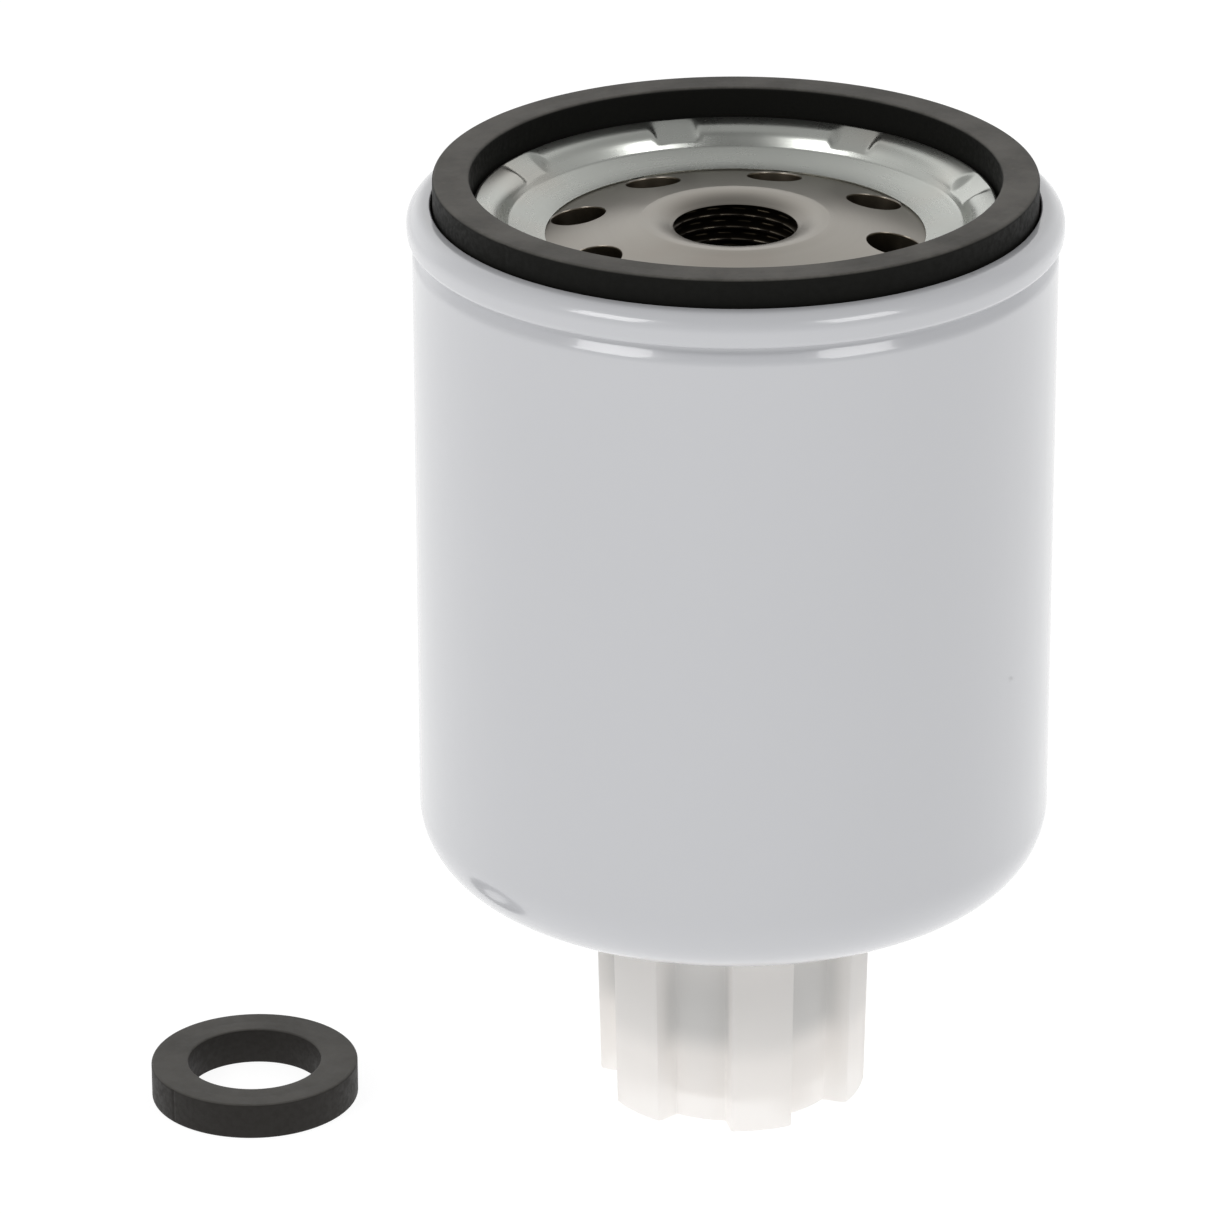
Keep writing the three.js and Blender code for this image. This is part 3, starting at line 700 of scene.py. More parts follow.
@dataclass(frozen=True)
class FilterPaper(Finish):
    """Resin-treated paper: fibres, and a fine cross emboss."""

    def paint(self, graph: Graph, shader: bpy.types.Node, place: Socket) -> None:
        """Join fibre tone and emboss to the shader."""
        fibre = graph.noise(graph.join(*[
            graph.math("MULTIPLY", part, share)
            for part, share in zip(graph.split(place), (1.0, 1.0, 0.12))]), 1500.0, 5.0, 0.7)
        cloud = self.effect(graph, Effects.mottle(), place, Patch_scale=160.0)
        tone = graph.mix(cloud.outputs["Mask"], self.tone(0.85), self.tone(1.1))
        graph.put(shader.inputs["Base Color"], graph.mix(graph.math("MULTIPLY", fibre, 0.5), tone,
                                                         self.tone(0.7)))
        graph.put(shader.inputs["Roughness"], graph.spread(fibre, 0.3, 0.7, self.roughness - 0.06,
                                                           self.roughness + 0.04))
        self.relief(graph, shader, fibre, 0.0001)


@dataclass(frozen=True)
class SetCompound(Finish):
    """Poured adhesive or seam compound that has set, slightly uneven."""

    def paint(self, graph: Graph, shader: bpy.types.Node, place: Socket) -> None:
        """Join its uneven tone and skin to the shader."""
        cloud = self.effect(graph, Effects.mottle(), place, Patch_scale=240.0)
        graph.put(shader.inputs["Base Color"],
                  graph.mix(cloud.outputs["Mask"], self.tone(0.8), self.tone(1.15)))
        graph.put(shader.inputs["Roughness"],
                  graph.spread(cloud.outputs["Grain"], 0.3, 0.7, self.roughness - 0.1,
                               self.roughness + 0.1))
        self.relief(graph, shader, cloud.outputs["Mask"], 0.0003)


WHITE_PAINT = GlossPaint("white_paint", (0.565, 0.571, 0.592), 0.2, bump=0.05)
ZINC = FormedSteel("zinc_steel", (0.555, 0.57, 0.535), 0.27, 1.0, 0.25,
                   stain=(0.55, 0.45, 0.38), stain_share=0.3)
PLATE_STEEL = PlateWithPaintedShade("plate_steel", (0.335, 0.314, 0.28), 0.33, 1.0, 0.3, line_scale=1500.0,
                         cloud=0.35, stain=(0.29, 0.25, 0.215), stain_share=0.4)
CAP_STEEL = FormedSteel("cap_steel", (0.45, 0.45, 0.44), 0.3, 1.0, 0.25)
SPRING_STEEL = FormedSteel("spring_steel", (0.32, 0.33, 0.34), 0.34, 1.0, 0.3)
BOSS_STEEL = FormedSteel("boss_steel", (0.10, 0.095, 0.09), 0.5, 0.4, 0.3)
RUBBER = MouldedRubber("gasket_rubber", (0.006, 0.006, 0.005), 0.6, bump=0.3)
SEAL_RUBBER = MouldedRubber("gasket_rubber", (0.016, 0.014, 0.012), 0.6, bump=0.3, batch="b",
                            bloom_and_top_light=(0.1, 0.095, 0.086), sheen=0.25)
KNOB_PLASTIC = MilkyPlastic("knob_plastic", (0.965, 0.935, 0.905), 0.55, bump=0.2)
PAPER = FilterPaper("filter_paper", (0.70, 0.56, 0.30), 0.88, bump=0.5)
POTTING = SetCompound("potting", (0.30, 0.07, 0.05), 0.5, bump=0.4)
SEALANT = SetCompound("sealant", (0.25, 0.30, 0.28), 0.6, bump=0.4)


# ------------------------------------------------------------------ geometry node trees
def bake_nodes(name: str, carrier: bpy.types.Object, tree: bpy.types.NodeTree,
               values: dict, sharp_deg: float = 38.0) -> bpy.types.Object:
    """Run a geometry tree on a carrier object and keep the result as a plain mesh.

    Args:
        name: Name of the finished piece.
        carrier: Object whose mesh the tree starts from; it is removed.
        tree: The geometry node tree.
        values: Value of each named input.
        sharp_deg: Faces that meet at more than this stay sharp.

    Returns:
        The finished piece, at the origin and with no modifier.
    """
    modifier = carrier.modifiers.new(tree.name, "NODES")
    modifier.node_group = tree
    for item in tree.interface.items_tree:
        if item.item_type == "SOCKET" and item.in_out == "INPUT" and item.name in values:
            modifier[item.identifier] = values[item.name]
    carrier.update_tag()
    bpy.context.view_layer.update()
    graph = bpy.context.evaluated_depsgraph_get()
    mesh = bpy.data.meshes.new_from_object(carrier.evaluated_get(graph))
    carrier.modifiers.remove(modifier)
    bpy.data.objects.remove(carrier)
    mesh.name = name
    piece = bpy.data.objects.new(name, mesh)
    bpy.context.scene.collection.objects.link(piece)
    face_outward(mesh)
    smooth(mesh, sharp_deg)
    return piece


def empty_carrier(name: str) -> bpy.types.Object:
    """An object with an empty mesh, for a tree that makes its own geometry."""
    carrier = bpy.data.objects.new(name, bpy.data.meshes.new(name))
    bpy.context.scene.collection.objects.link(carrier)
    return carrier


def close_tree(graph: Graph, sink: bpy.types.Node, geometry: Socket, material: Socket) -> None:
    """End a geometry tree in Realize Instances and Set Material."""
    real = graph.add("GeometryNodeRealizeInstances", Geometry=geometry)
    dressed = graph.add("GeometryNodeSetMaterial", Geometry=real.outputs[0], Material=material)
    graph.put(sink.inputs["Geometry"], dressed.outputs[0])


def ring_cut_tree() -> bpy.types.NodeTree:
    """Cut copies of one cutter, set round the upright axis at equal steps, out of a body."""
    name = "ring_cut"
    if name in bpy.data.node_groups:
        return bpy.data.node_groups[name]
    graph, given, sink = new_group(
        name, "GeometryNodeTree",
        {"Geometry": (SocketKind.GEOMETRY, None), "Cutter": (SocketKind.OBJECT, None),
         "Count": (SocketKind.WHOLE, 8), "Phase": (SocketKind.NUMBER, 0.0),
         "Material": (SocketKind.MATERIAL, None)},
        {"Geometry": SocketKind.GEOMETRY})
    spots = graph.add("GeometryNodePoints", Count=given["Count"])
    index = graph.add("GeometryNodeInputIndex").outputs[0]
    step = graph.math("DIVIDE", TURN, given["Count"])
    angle = graph.math("MULTIPLY_ADD", index, step, given["Phase"])
    tool = graph.add("GeometryNodeObjectInfo", {"transform_space": "ORIGINAL"},
                     Object=given["Cutter"])
    copies = graph.add("GeometryNodeInstanceOnPoints", Points=spots.outputs[0],
                       Instance=tool.outputs["Geometry"], Rotation=graph.join(0.0, 0.0, angle))
    solid = graph.add("GeometryNodeRealizeInstances", Geometry=copies.outputs[0])
    cut = graph.add("GeometryNodeMeshBoolean", {"operation": "DIFFERENCE", "solver": "EXACT"})
    graph.put(cut.inputs[0], given["Geometry"])
    graph.put(cut.inputs[1], solid.outputs[0])
    close_tree(graph, sink, cut.outputs[0], given["Material"])
    return graph.tree


def perforation_tree() -> bpy.types.NodeTree:
    """Punch staggered rows of round holes through an upright tube."""
    graph, given, sink = new_group(
        "perforation", "GeometryNodeTree",
        {"Geometry": (SocketKind.GEOMETRY, None), "Rows": (SocketKind.WHOLE, 10),
         "Columns": (SocketKind.WHOLE, 12), "Tube radius": (SocketKind.NUMBER, 0.01),
         "Hole radius": (SocketKind.NUMBER, 0.0015), "First row": (SocketKind.NUMBER, 0.0),
         "Row step": (SocketKind.NUMBER, 0.005), "Material": (SocketKind.MATERIAL, None)},
        {"Geometry": SocketKind.GEOMETRY})
    total = graph.math("MULTIPLY", given["Rows"], given["Columns"])
    spots = graph.add("GeometryNodePoints", Count=total)
    index = graph.add("GeometryNodeInputIndex").outputs[0]
    row = graph.math("FLOOR", graph.math("DIVIDE", graph.math("ADD", index, 0.5),
                                         given["Columns"]))
    column = graph.math("SUBTRACT", index, graph.math("MULTIPLY", row, given["Columns"]))
    stagger = graph.math("MULTIPLY", graph.math("MODULO", row, 2.0), 0.5)
    angle = graph.math("MULTIPLY", graph.math("ADD", column, stagger),
                       graph.math("DIVIDE", TURN, given["Columns"]))
    across = graph.math("MULTIPLY", given["Tube radius"], graph.math("COSINE", angle))
    along = graph.math("MULTIPLY", given["Tube radius"], graph.math("SINE", angle))
    height = graph.math("MULTIPLY_ADD", row, given["Row step"], given["First row"])
    placed = graph.add("GeometryNodeSetPosition", Geometry=spots.outputs[0],
                       Position=graph.join(across, along, height))
    punch = graph.add("GeometryNodeMeshCylinder", Vertices=20, Radius=given["Hole radius"],
                      Depth=0.004)
    copies = graph.add("GeometryNodeInstanceOnPoints", Points=placed.outputs[0],
                       Instance=punch.outputs["Mesh"],
                       Rotation=graph.join(0.0, math.pi / 2, angle))
    solid = graph.add("GeometryNodeRealizeInstances", Geometry=copies.outputs[0])
    cut = graph.add("GeometryNodeMeshBoolean", {"operation": "DIFFERENCE", "solver": "EXACT"})
    graph.put(cut.inputs[0], given["Geometry"])
    graph.put(cut.inputs[1], solid.outputs[0])
    close_tree(graph, sink, cut.outputs[0], given["Material"])
    return graph.tree


def pleat_tree() -> bpy.types.NodeTree:
    """A ring of paper folded in and out, with rounded folds."""
    graph, given, sink = new_group(
        "pleats", "GeometryNodeTree",
        {"Pleats": (SocketKind.WHOLE, 44), "Tip radius": (SocketKind.NUMBER, 0.03),
         "Fold radius": (SocketKind.NUMBER, 0.015), "Middle": (SocketKind.NUMBER, 0.07),
         "Height": (SocketKind.NUMBER, 0.05), "Paper": (SocketKind.NUMBER, 0.0005),
         "Rounding": (SocketKind.NUMBER, 0.0004), "Material": (SocketKind.MATERIAL, None)},
        {"Geometry": SocketKind.GEOMETRY})
    corners = graph.math("MULTIPLY", given["Pleats"], 2.0)
    circle = graph.add("GeometryNodeMeshCircle", Vertices=corners, Radius=1.0)
    index = graph.add("GeometryNodeInputIndex").outputs[0]
    odd = graph.math("MODULO", index, 2.0)
    gap = graph.math("SUBTRACT", given["Fold radius"], given["Tip radius"])
    reach = graph.math("MULTIPLY_ADD", odd, gap, given["Tip radius"])
    place = graph.add("GeometryNodeInputPosition").outputs[0]
    x, y, _ = graph.split(place)
    star = graph.join(graph.math("MULTIPLY", x, reach), graph.math("MULTIPLY", y, reach),
                      given["Middle"])
    folded = graph.add("GeometryNodeSetPosition", Geometry=circle.outputs[0], Position=star)
    line = graph.add("GeometryNodeMeshToCurve", Mesh=folded.outputs[0])
    soft = graph.add("GeometryNodeFilletCurve", Curve=line.outputs[0], Radius=given["Rounding"])
    if "Mode" in soft.inputs:
        soft.inputs["Mode"].default_value = "Poly"
    else:
        soft.mode = "POLY"
    graph.put(soft.inputs["Count"], 3)
    upright = graph.add("GeometryNodeSetCurveNormal", Curve=soft.outputs[0])
    if "Mode" in upright.inputs:
        upright.inputs["Mode"].default_value = "Z Up"
    else:
        upright.mode = "Z_UP"
    strip = graph.add("GeometryNodeCurvePrimitiveQuadrilateral", Width=given["Paper"],
                      Height=given["Height"])
    paper = graph.add("GeometryNodeCurveToMesh", Curve=upright.outputs[0],
                      Profile_Curve=strip.outputs[0])
    close_tree(graph, sink, paper.outputs[0], given["Material"])
    return graph.tree


def spring_tree() -> bpy.types.NodeTree:
    """A coil spring with one closed turn at each end."""
    graph, given, sink = new_group(
        "coil_spring", "GeometryNodeTree",
        {"Turns": (SocketKind.NUMBER, 4.0), "Coil radius": (SocketKind.NUMBER, 0.016),
         "Wire radius": (SocketKind.NUMBER, 0.001), "Foot": (SocketKind.NUMBER, 0.03),
         "Head": (SocketKind.NUMBER, 0.043), "Closed lift": (SocketKind.NUMBER, 0.002),
         "Material": (SocketKind.MATERIAL, None)},
        {"Geometry": SocketKind.GEOMETRY})
    straight = graph.add("GeometryNodeCurvePrimitiveLine")
    fine = graph.add("GeometryNodeResampleCurve", Curve=straight.outputs[0], Count=288)
    factor = graph.add("GeometryNodeSplineParameter").outputs["Factor"]
    turn = graph.math("MULTIPLY", factor, given["Turns"])
    angle = graph.math("MULTIPLY", turn, TURN)
    open_turns = graph.math("SUBTRACT", given["Turns"], 2.0)
    rise = graph.math("SUBTRACT", graph.math("SUBTRACT", given["Head"], given["Foot"]),
                      graph.math("MULTIPLY", given["Closed lift"], 2.0))
    slope = graph.math("DIVIDE", rise, open_turns)
    first = graph.math("MULTIPLY", graph.math("MINIMUM", turn, 1.0), given["Closed lift"])
    middle = graph.math("MINIMUM", graph.math("MAXIMUM", graph.math("SUBTRACT", turn, 1.0), 0.0),
                        open_turns)
    ending = graph.math("MAXIMUM", graph.math("SUBTRACT", graph.math("SUBTRACT", turn, 1.0),
                                              open_turns), 0.0)
    height = graph.math("ADD", graph.math("ADD", given["Foot"], first),
                        graph.math("MULTIPLY_ADD", middle, slope,
                                   graph.math("MULTIPLY", ending, given["Closed lift"])))
    place = graph.join(graph.math("MULTIPLY", given["Coil radius"], graph.math("COSINE", angle)),
                       graph.math("MULTIPLY", given["Coil radius"], graph.math("SINE", angle)),
                       height)
    coil = graph.add("GeometryNodeSetPosition", Geometry=fine.outputs[0], Position=place)
    wire = graph.add("GeometryNodeCurvePrimitiveCircle", Resolution=16,
                     Radius=given["Wire radius"])
    solid = graph.add("GeometryNodeCurveToMesh", Curve=coil.outputs[0],
                      Profile_Curve=wire.outputs["Curve"])
    graph.put(solid.inputs["Fill Caps"], True)
    close_tree(graph, sink, solid.outputs[0], given["Material"])
    return graph.tree


# ------------------------------------------------------------------ sub-assemblies
class Body(Enum):
    """Bodies of the frame that pieces ride on."""

    FILTER = "filter_body"
    ELEMENT = "filter_element"
    DRAIN_SEAL = "drain_seal"
    DRAIN_SCREW = "drain_screw"
    LOOSE_SEAL = "loose_seal"


def fit_out(piece: bpy.types.Object, finish: Finish, body: Body, *nodes: str) -> bpy.types.Object:
    """Dress a finished piece, put it on its body and hide the CAD nodes that it takes the place of.

    Args:
        piece: The finished piece.
        finish: Its finish.
        body: The body it rides on.
        *nodes: CAD nodes that it replaces.

    Returns:
        The piece.
    """
    finish.dress(piece)
    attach(piece, body.value)
    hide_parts(*nodes)
    log.info("%s: %d faces on %s", piece.name, len(piece.data.polygons), body.value)
    return piece


@dataclass
class PaintedCan:
    """The drawn can with its necked rim, hooked into the seam."""

    wall: float = 0.6
    hole_r: float = 8.4
    corner_r: float = 8.7
    neck_r: float = 36.45
    neck_z: float = 107.35
    shoulder_z: float = 106.1
    hook_sheet: float = 0.5
    hook_r: float = 37.2
    hook_foot_z: float = 109.2

    def build(self) -> None:
        """Build and fit the can."""
        extent = Extent.of("can")
        r, foot, top = extent.radius, extent.low, extent.high
        wall, sheet = self.wall, self.hook_sheet
        section = rounded([
            (self.hole_r, foot, 0.15), (r, foot, self.corner_r), (r, self.shoulder_z, 1.6),
            (self.neck_r, self.neck_z, 0.9), (self.neck_r, top - sheet, 0.1),
            (self.hook_r - sheet, top - sheet, 0.1), (self.hook_r - sheet, self.hook_foot_z, 0.0),
            (self.hook_r, self.hook_foot_z, 0.0), (self.hook_r, top, 0.55),
            (self.neck_r - sheet, top, 0.55), (self.neck_r - sheet, self.neck_z, 1.3),
            (r - wall, self.shoulder_z - 0.2, 1.2), (r - wall, foot + wall, self.corner_r - wall),
            (self.hole_r, foot + wall, 0.15),
        ], step_deg=6.0)
        fit_out(revolve("can_shell", section, 256), WHITE_PAINT, Body.FILTER, "can")


@dataclass
class ThreadPlate:
    """The plate that takes the load: coned face, inlet holes and a threaded neck."""

    pitch: float = 1.5
    minor_r: float = 7.19
    major_r: float = 8.0
    lip_r: float = 7.45
    lip_z: float = 109.1
    crest_r: float = 10.6
    crest_z: float = 109.95
    rim_z: float = 106.6
    shelf_r: float = 22.2
    shelf_z: float = 107.9
    thickness: float = 3.0
    neck_r: float = 9.4
    inlets: int = 8
    inlet_r: float = 3.2
    inlet_pcd_r: float = 18.8
    inlet_phase_deg: float = 76.0

    def threaded(self, r: np.ndarray, z: np.ndarray, angle: np.ndarray) -> tuple[np.ndarray, np.ndarray]:
        """Cut the helix into the bore, fading out at the mouth and the foot.

        Args:
            r: Radius of each point.
            z: Height of each point.
            angle: Direction of each point.

        Returns:
            Radius and height after cutting.
        """
        low = Extent.of("thread_plate").low
        depth = (self.major_r - self.minor_r) * (1.0 - screw_depth(z, angle, self.pitch))
        fade = np.clip((z - low - 0.4) / 1.0, 0.0, 1.0)
        fade = fade * np.clip((self.lip_z - 0.15 - z) / 0.25, 0.0, 1.0)
        in_bore = (r < self.minor_r + 0.01) & (z < self.lip_z - 0.1)
        return np.where(in_bore, np.maximum(r, self.minor_r + depth * fade), r), z

    def face_z(self, r: float) -> float:
        """Height of the coned face at a radius."""
        fall = (self.crest_z - self.shelf_z) / (self.shelf_r - self.crest_r)
        foot = self.shelf_r + 6.0
        outer = (self.shelf_z - self.rim_z) / 6.0
        if r <= self.shelf_r:
            return self.crest_z - fall * (r - self.crest_r)
        return max(self.rim_z, self.rim_z + outer * (foot - r))

    def build(self) -> None:
        """Build and fit the plate."""
        extent = Extent.of("thread_plate")
        under = self.crest_z - self.thickness - 0.4
        start = self.lip_z - 0.15
        dished: list[Corner] = [
            (self.crest_r - share * (self.crest_r - self.lip_r),
             self.crest_z - share * share * (self.crest_z - self.lip_z), 0.0)
            for share in np.arange(1.0, 0.14, -0.1)]
        cone: list[Corner] = [(r, self.face_z(r), 0.0) for r in np.arange(12.0, 21.3, 0.6)]
        loop: list[Corner] = [
            (self.minor_r, start, 0.0), (self.minor_r + 0.12, self.lip_z - 0.05, 0.0), *dished,
            (self.crest_r + 0.3, self.crest_z - 0.01, 1.2), *cone,
            (self.shelf_r, self.shelf_z, 2.0), (self.shelf_r + 6.0, self.rim_z, 3.0),
            (extent.radius, self.rim_z, 0.4), (extent.radius, self.rim_z - self.thickness, 0.4),
            (self.neck_r + 1.2, under, 1.5), (self.neck_r, under - 1.2, 1.0),
            (self.neck_r, extent.low, 0.5), (self.minor_r + 0.5, extent.low, 0.0),
            (self.minor_r, extent.low + 0.5, 0.0),
        ]
        section = rounded(loop, step_deg=8.0)
        section = section + dense([section[-1], section[0]], 0.09)[1:-1]
        blank = revolve("plate_blank", section, 240, warp=self.threaded, sharp_deg=45.0)
        cutter = self.inlet_cutter()
        plate = bake_nodes("thread_plate_steel", blank, ring_cut_tree(), {
            "Cutter": cutter, "Count": self.inlets, "Phase": math.radians(self.inlet_phase_deg),
            "Material": PLATE_STEEL.material()}, sharp_deg=45.0)
        bpy.data.objects.remove(cutter)
        fit_out(plate, PLATE_STEEL, Body.FILTER, "thread_plate")

    def inlet_cutter(self) -> bpy.types.Object:
        """A punch with a flared shoulder, which leaves a rounded edge where it enters."""
        slope = math.atan2(self.crest_z - self.shelf_z, self.shelf_r - self.crest_r)
        share = (self.inlet_pcd_r - self.crest_r) / (self.shelf_r - self.crest_r)
        face_z = self.crest_z + share * (self.shelf_z - self.crest_z)
        flare = 0.12
        section = rounded([(0.0, -6.0, 0.0), (self.inlet_r, -6.0, 0.0),
                           (self.inlet_r, -flare, 0.3), (self.inlet_r + 2 * flare, flare, 0.0),
                           (self.inlet_r + 2 * flare, 3.0, 0.0), (0.0, 3.0, 0.0)],
                          closed=False, step_deg=10.0)
        cutter = revolve("inlet_punch", section, 48, closed=False)
        turn = Matrix.Rotation(slope, 4, "Y")
        move = Matrix.Translation(Vector((self.inlet_pcd_r, 0.0, face_z)) * MM)
        cutter.data.transform(move @ turn)
        return cutter


@dataclass
class SeamingLid:
    """The plated ring that closes the can: sloping shelf, retaining bead, gasket groove, seam."""

    plate: ThreadPlate
    sheet: float = 0.6
    hole_r: float = 22.0
    hole_z: float = 108.15
    hole_slope: float = 0.13
    fold_slope: float = 0.4
    fold_r: float = 26.5
    bead_r: float = 29.9
    bead_z: float = 111.8
    bead_tilt: float = 0.24
    bead_fall: float = 1.55
    bead_power: float = 5.0
    leg_r: float = 30.15
    groove_z: float = 107.8
    chuck_r: float = 35.15
    seam_low: float = 108.1
    dents: int = 8
    dent_phase_deg: float = 105.0
    dent_half_width: float = 2.2
    dent_slope: float = 0.58
    dent_ramp: float = 1.1

    def dome(self, r: np.ndarray) -> np.ndarray:
        """Height of the bead's shoulder, which steepens towards its fold."""
        run = self.bead_r - r
        share = run / (self.bead_r - self.fold_r)
        return self.bead_z - self.bead_tilt * run - self.bead_fall * share ** self.bead_power

    def dented(self, r: np.ndarray, z: np.ndarray, angle: np.ndarray) -> tuple[np.ndarray, np.ndarray]:
        """Press flats into the shoulder of the bead.

        Args:
            r: Radius of each point.
            z: Height of each point.
            angle: Direction of each point.

        Returns:
            Radius and height after pressing.
        """
        step = TURN / self.dents
        off = np.mod(angle - math.radians(self.dent_phase_deg) + step / 2, step) - step / 2
        across = np.abs(off) * self.bead_r
        inside = np.clip((self.dent_half_width - across) / self.dent_ramp + 1.0, 0.0, 1.0)
        inside = inside * inside * (3.0 - 2.0 * inside)
        flat = self.bead_z - 0.1 - (self.bead_r - 0.2 - r * np.cos(off)) * self.dent_slope
        on_bead = (r > self.fold_r) & (r < self.bead_r) & (z > self.hole_z)
        press = np.maximum(0.0, self.dome(r) - flat) * inside * on_bead
        return r, z - press

    def build(self) -> None:
        """Build the plated pan and the painted roll of the seam, and fit both."""
        extent = Extent.of("seaming_lid")
        gasket = Extent.of("outer_gasket")
        half = self.sheet / 2
        crown = np.linspace(self.fold_r + 0.06, self.bead_r, 22)
        slope = np.gradient(self.dome(crown), crown)
        norm = np.hypot(1.0, slope)
        bead: list[Corner] = [(float(r), float(z), 0.0) for r, z in
                              zip(crown + half * slope / norm, self.dome(crown) - half / norm)]
        reach = self.fold_r - self.hole_r
        bend = (self.fold_slope - self.hole_slope) / (2.0 * reach)
        shelf: list[Corner] = [
            (self.hole_r + run, self.hole_z - half + self.hole_slope * run + bend * run * run, 0.0)
            for run in np.linspace(0.0, reach, 10)]
        line: list[Corner] = [
            *shelf, *bead[1:-1], (bead[-1][0], bead[-1][1], 0.3),
            (self.leg_r, self.bead_z - 0.9, 0.4), (self.leg_r, self.groove_z - half, 0.5),
            (self.chuck_r + half, self.groove_z - half, 0.5),
            (self.chuck_r + half, extent.high - 0.55, 0.0)]
        section = sheet_section(line, self.sheet)
        count = len(section) // 2
        upper = dense(section[:count], 0.25)
        lower = [(r, max(z, self.plate.face_z(r) + 0.03))
                 for r, z in dense(section[count:], 0.6)]
        pan = revolve("lid_pan", upper + lower, 448, warp=self.dented, sharp_deg=50.0)
        fit_out(pan, ZINC, Body.FILTER, "seaming_lid")
        roll = self.seam_roll(extent.radius, extent.high, gasket.radius)
        fit_out(roll, WHITE_PAINT, Body.FILTER, "seaming_lid")

    def seam_roll(self, radius: float, top: float, gasket_r: float) -> bpy.types.Object:
        """The lid's edge rolled over and under the can's hook.

        Args:
            radius: Widest radius of the seam.
            top: Top of the seam.
            gasket_r: Outer radius of the gasket, which the seam clears.

        Returns:
            The roll as one piece.
        """
        sheet, low = self.sheet, self.seam_low
        inner = max(self.chuck_r, gasket_r + 0.2)
        section = rounded([
            (inner, top - 0.5, 0.0), (inner, top, 0.22), (radius - 1.4, top, 2.6),
            (radius, top - 1.4, 2.6), (radius - 0.12, low + 0.5, 0.9),
            (radius - 0.5, low, 0.4), (radius - 1.45, low + 0.05, 0.0),
            (radius - 1.45, low + sheet, 0.0), (radius - sheet - 0.2, low + sheet, 0.3),
            (radius - sheet, top - 1.6, 1.6), (radius - sheet - 1.1, top - sheet, 1.6),
            (inner + 0.8, top - sheet, 0.3), (inner + 0.8, top - 0.75, 0.0),
            (inner, top - 0.75, 0.0),
        ], step_deg=7.0)
        return revolve("seam_roll", section, 256, sharp_deg=50.0)


@dataclass
class SquareSeals:
    """The square-section gasket on the filter and the small loose seal beside it."""

    edge: float = 0.4
    gasket_hole_r: float = 30.65
    loose_hole_r: float = 7.93
    parting_deg: float = 222.0

    def ring(self, name: str, extent: Extent, hole_r: float, edge: float,
             sway: float, segments: int) -> bpy.types.Object:
        """A square ring with soft edges that is very slightly out of true.

        Args:
            name: Name of the piece.
            extent: Place and size of its CAD node.
            hole_r: Radius of its hole.
            edge: Radius of its edges.
            sway: How far it is out of true.
            segments: Steps round it.

        Returns:
            The ring.
        """
        r, low, high = extent.radius, extent.low, extent.high
        crown = 0.06
        section = rounded([
            (hole_r, low, edge), (r, low, edge), (r, (low + high) / 2, 0.0), (r, high, edge),
            ((r + hole_r) / 2, high - crown, 4.0), (hole_r, high, edge)], step_deg=11.0)

        def settle(rr: np.ndarray, zz: np.ndarray, angle: np.ndarray) -> tuple[np.ndarray, np.ndarray]:
            """Let the ring wander a little in plan, and nick it where its mould parts."""
            wave = np.sin(2 * angle + 0.7) + 0.5 * np.sin(5 * angle + 2.1)
            off = (angle - math.radians(self.parting_deg)) * r
            nick = 0.12 * np.exp(-(off / 0.15) ** 2) * (rr > r - 0.05)
            return rr - sway * (1.5 - wave) / 3.0 * (rr / r) - nick, zz

        return revolve(name, section, segments, warp=settle, centre=extent.centre, sharp_deg=60.0)

    def build(self) -> None:
        """Build and fit both seals."""
        gasket = self.ring("gasket_ring", Extent.of("outer_gasket"), self.gasket_hole_r,
                           self.edge, 0.12, 512)
        fit_out(gasket, RUBBER, Body.FILTER, "outer_gasket")
        loose = self.ring("nipple_seal_ring", Extent.of("loose_seal_ring"), self.loose_hole_r,
                          0.3, 0.06, 480)
        fit_out(loose, SEAL_RUBBER, Body.LOOSE_SEAL, "loose_seal_ring")


